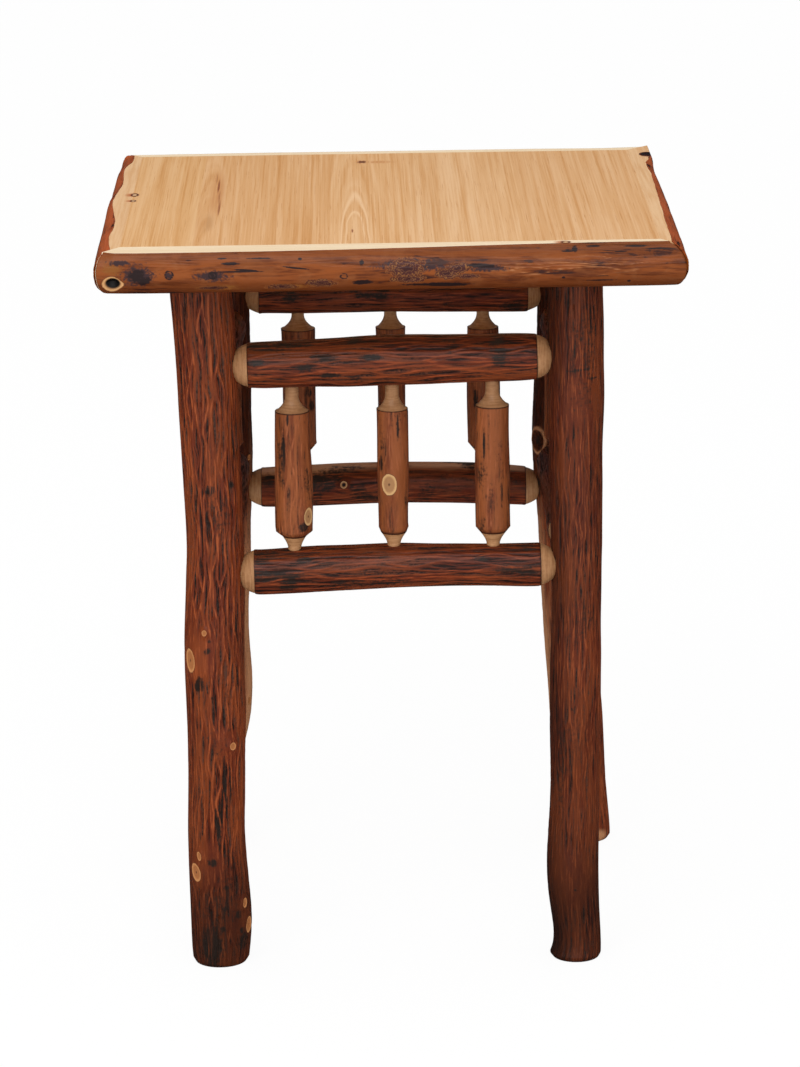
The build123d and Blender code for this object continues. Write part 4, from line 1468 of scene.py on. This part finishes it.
# A cut through an edging has the same columns of points all along: the sawn flat, the
# shoulder down to the belly, the round below it, and the bottom back to the boards.
flat_steps = np.linspace(0, 1, flat_columns)
shoulder_turns = np.linspace(0.03, pi / 2, shoulder_columns)
under_turns = np.linspace(0, pi / 2, under_columns + 1)[1:]
bottom_steps = np.linspace(1, 0, bottom_columns + 1)[1:]
no_lean_above, no_lean_below = np.zeros(flat_columns), np.zeros(bottom_columns)
lean_out = np.hstack([no_lean_above, np.sin(shoulder_turns), np.cos(under_turns), no_lean_below])
lean_up = np.hstack([no_lean_above, np.cos(shoulder_turns), -np.sin(under_turns), no_lean_below])
shoulder_drop = edge_belly_drop * (1 - np.cos(shoulder_turns))
under_drop = edge_belly_drop + (edge_height - edge_belly_drop) * np.sin(under_turns)
drop = np.hstack([no_lean_above, shoulder_drop, under_drop, no_lean_below + edge_height])
bark_start = ease(np.arange(shoulder_columns) / 5)
has_bark = np.hstack([no_lean_above, bark_start, np.ones(under_columns), no_lean_below])
columns = len(drop)
shoulder_start, bottom_start = flat_columns, columns - bottom_columns
under_start = shoulder_start + shoulder_columns
girth = np.arange(columns)[None, :] / (columns + 6)
oval_kinds = ("knots", "holes", "crusts", "stains", "rings", "clouds", "golds", "folds")

first_board, last_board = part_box("top_board_1"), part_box("top_board_5")
panel_low, panel_high = first_board[0], last_board[1]
outer_low = Vector((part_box("edge_left")[0].x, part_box("edge_front")[0].y, 0))
outer_high = Vector((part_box("edge_right")[1].x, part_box("edge_back")[1].y, 0))
table_top = panel_high.z

for number, (edge_name, look) in enumerate(edge_looks.items()):
    run, outward = look["run"], look["outward"]
    inner_face = (panel_high if outward > 0 else panel_low)[1 - run]
    outer_face = (outer_high if outward > 0 else outer_low)[1 - run]
    width = abs(outer_face - inner_face)

    # the mitres: how far each end moves out with the distance from the boards
    low_corner, high_corner = panel_low[run], panel_high[run]
    low_slope = (outer_low[run] - low_corner) / width
    high_slope = (outer_high[run] - high_corner) / width
    places = np.arange(outer_low[run] + 3 * mm, outer_high[run] - 3 * mm, feeler_gap)
    reaches, flats = measure_edge(edge_name, run, outward, inner_face, table_top, places)

    # cuts along the edging, and the rim that is rounded where two edgings meet
    rows = int((high_corner - low_corner) / edge_station_gap)
    share = np.linspace(0, 1, rows)[:, None]
    rim_rows = np.minimum(np.arange(rows), np.arange(rows)[::-1])[:, None]
    past_rim = np.clip(1 - rim_rows * edge_station_gap / (look["mitre_round"] * mm + 1e-9), 0, 1)
    rounded_rim = look["mitre_round"] * (1 - (1 - past_rim**2) ** 0.5)

    # How far a point lies along the edging depends, at the mitres, on how far out it is, and
    # the other way round. So both are worked out a few times, until they settle.
    out = np.full((rows, columns), 0.5 * width)
    for _ in range(settling_rounds):
        place = (low_corner + low_slope * out) * (1 - share) + (high_corner + high_slope * out) * share
        reach = np.interp(place, places, reaches)
        flat = np.interp(place, places, flats)
        shore = soft_noise(girth * 0 + 0.5, place - outer_low[run], 1, 0.016, number + 401)
        flat = flat + look["wave"] * mm * shore
        flat = flat + np.interp(place / mm, *zip(*look.get("widen", [(0, 0)]))) * mm
        end_gap = np.minimum(place - outer_low[run], outer_high[run] - place)
        flat = flat * (1 - look.get("end_narrowing", 0) * ease(1 - end_gap / end_taper))
        flat = np.clip(flat, least_flat, reach - least_shoulder)
        under = reach - edge_under_round
        out = np.hstack(
            [
                flat[:, :shoulder_start] * flat_steps,
                (flat + (reach - flat) * lean_out)[:, shoulder_start:under_start],
                (under + edge_under_round * lean_out)[:, under_start:bottom_start],
                under[:, bottom_start:] * bottom_steps,
            ]
        )
        height = table_top - drop * np.ones((rows, 1))
        ovals = {}
        for kind in oval_kinds:
            ovals[kind] = oval_distance(place, height, look.get(kind, []))
        travel = place - outer_low[run]
        lane = girth + 0.004 * soft_noise(girth, travel, 9, 0.02, number + 411)
        wrinkle = bark_ridges(lane, travel, 34, 0.03, number + 421)
        fold = ease(1.4 - ovals["folds"]) * (1 - np.minimum(wrinkle, 1))

        # how far the bark sinks below the split log's round, in millimetres
        sunk = 0.35 * soft_noise(girth, travel, 9, 0.04, number + 431) + 0.35
        sunk += 0.25 * soft_noise(girth, travel, 30, 0.006, number + 441) * ease(1.6 - ovals["crusts"])
        sunk += 0.18 * ease(wrinkle - 0.4) - 0.3 * fold + 0.3
        sunk += 4.5 * ease(1.15 - ovals["holes"])
        sunk += 0.8 * ease(1.2 - ovals["knots"]) * ease(ovals["knots"] / 0.9)
        sunk += rounded_rim
        sunk = np.maximum(sunk, 0) * mm * has_bark
        out = out - sunk * lean_out
    height = height - sunk * lean_up

    # rings are thin round stains, and planed is 1 on the flat where no bark covers it
    stains = np.minimum(ovals["stains"], 0.5 + 2.4 * np.abs(ovals["rings"] - 0.85))
    planed = np.zeros((rows, columns))
    planed[:, :flat_columns] = 1
    covered = oval_distance(place, out, look.get("bark_over", []))
    planed = planed * ease((covered - 0.7) / 0.5)
    if look["mitre_round"]:
        planed[:2, :] = 1

    # one more column closes the skin at the joint with the boards
    joint_out = np.zeros((rows, 1))
    joint_height = np.full((rows, 1), table_top - edge_height / 2)
    points = np.zeros((rows, columns + 1, 3))
    points[:, :, run] = np.hstack([place, place[:, -1:]])
    points[:, :, 1 - run] = inner_face + outward * np.hstack([out, joint_out])
    points[:, :, 2] = np.hstack([height, joint_height])
    corner = np.arange(rows * (columns + 1)).reshape(rows, columns + 1)
    beside = np.roll(corner, -1, axis=1)
    quads = np.stack([corner[:-1], beside[:-1], beside[1:], corner[1:]], axis=-1).reshape(-1, 4)
    if (outward > 0) == (run == 0):
        quads = quads[:, ::-1]
        caps = [corner[0].tolist(), corner[-1, ::-1].tolist()]
    else:
        caps = [corner[0, ::-1].tolist(), corner[-1].tolist()]
    marks = {"knot": ovals["knots"], "hole": ovals["holes"], "crust": ovals["crusts"], "stain": stains}
    marks.update(fold=fold, cloud=ovals["clouds"], gold=ovals["golds"])
    marks["height"] = (height - table_top + edge_height) / edge_height
    marks["planed"] = planed
    marks = {mark: np.hstack([values, values[:, -1:]]) for mark, values in marks.items()}
    marks["planed"][:, -1] = 1
    marks["sap"] = np.full_like(marks["planed"], look["sap"])
    edge = marked_piece(edge_name + "_log", points, quads.tolist() + caps, marks, 40)
    edge.data.materials.append(edge_finishes[run])
    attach(edge, "root")
    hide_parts(edge_name)
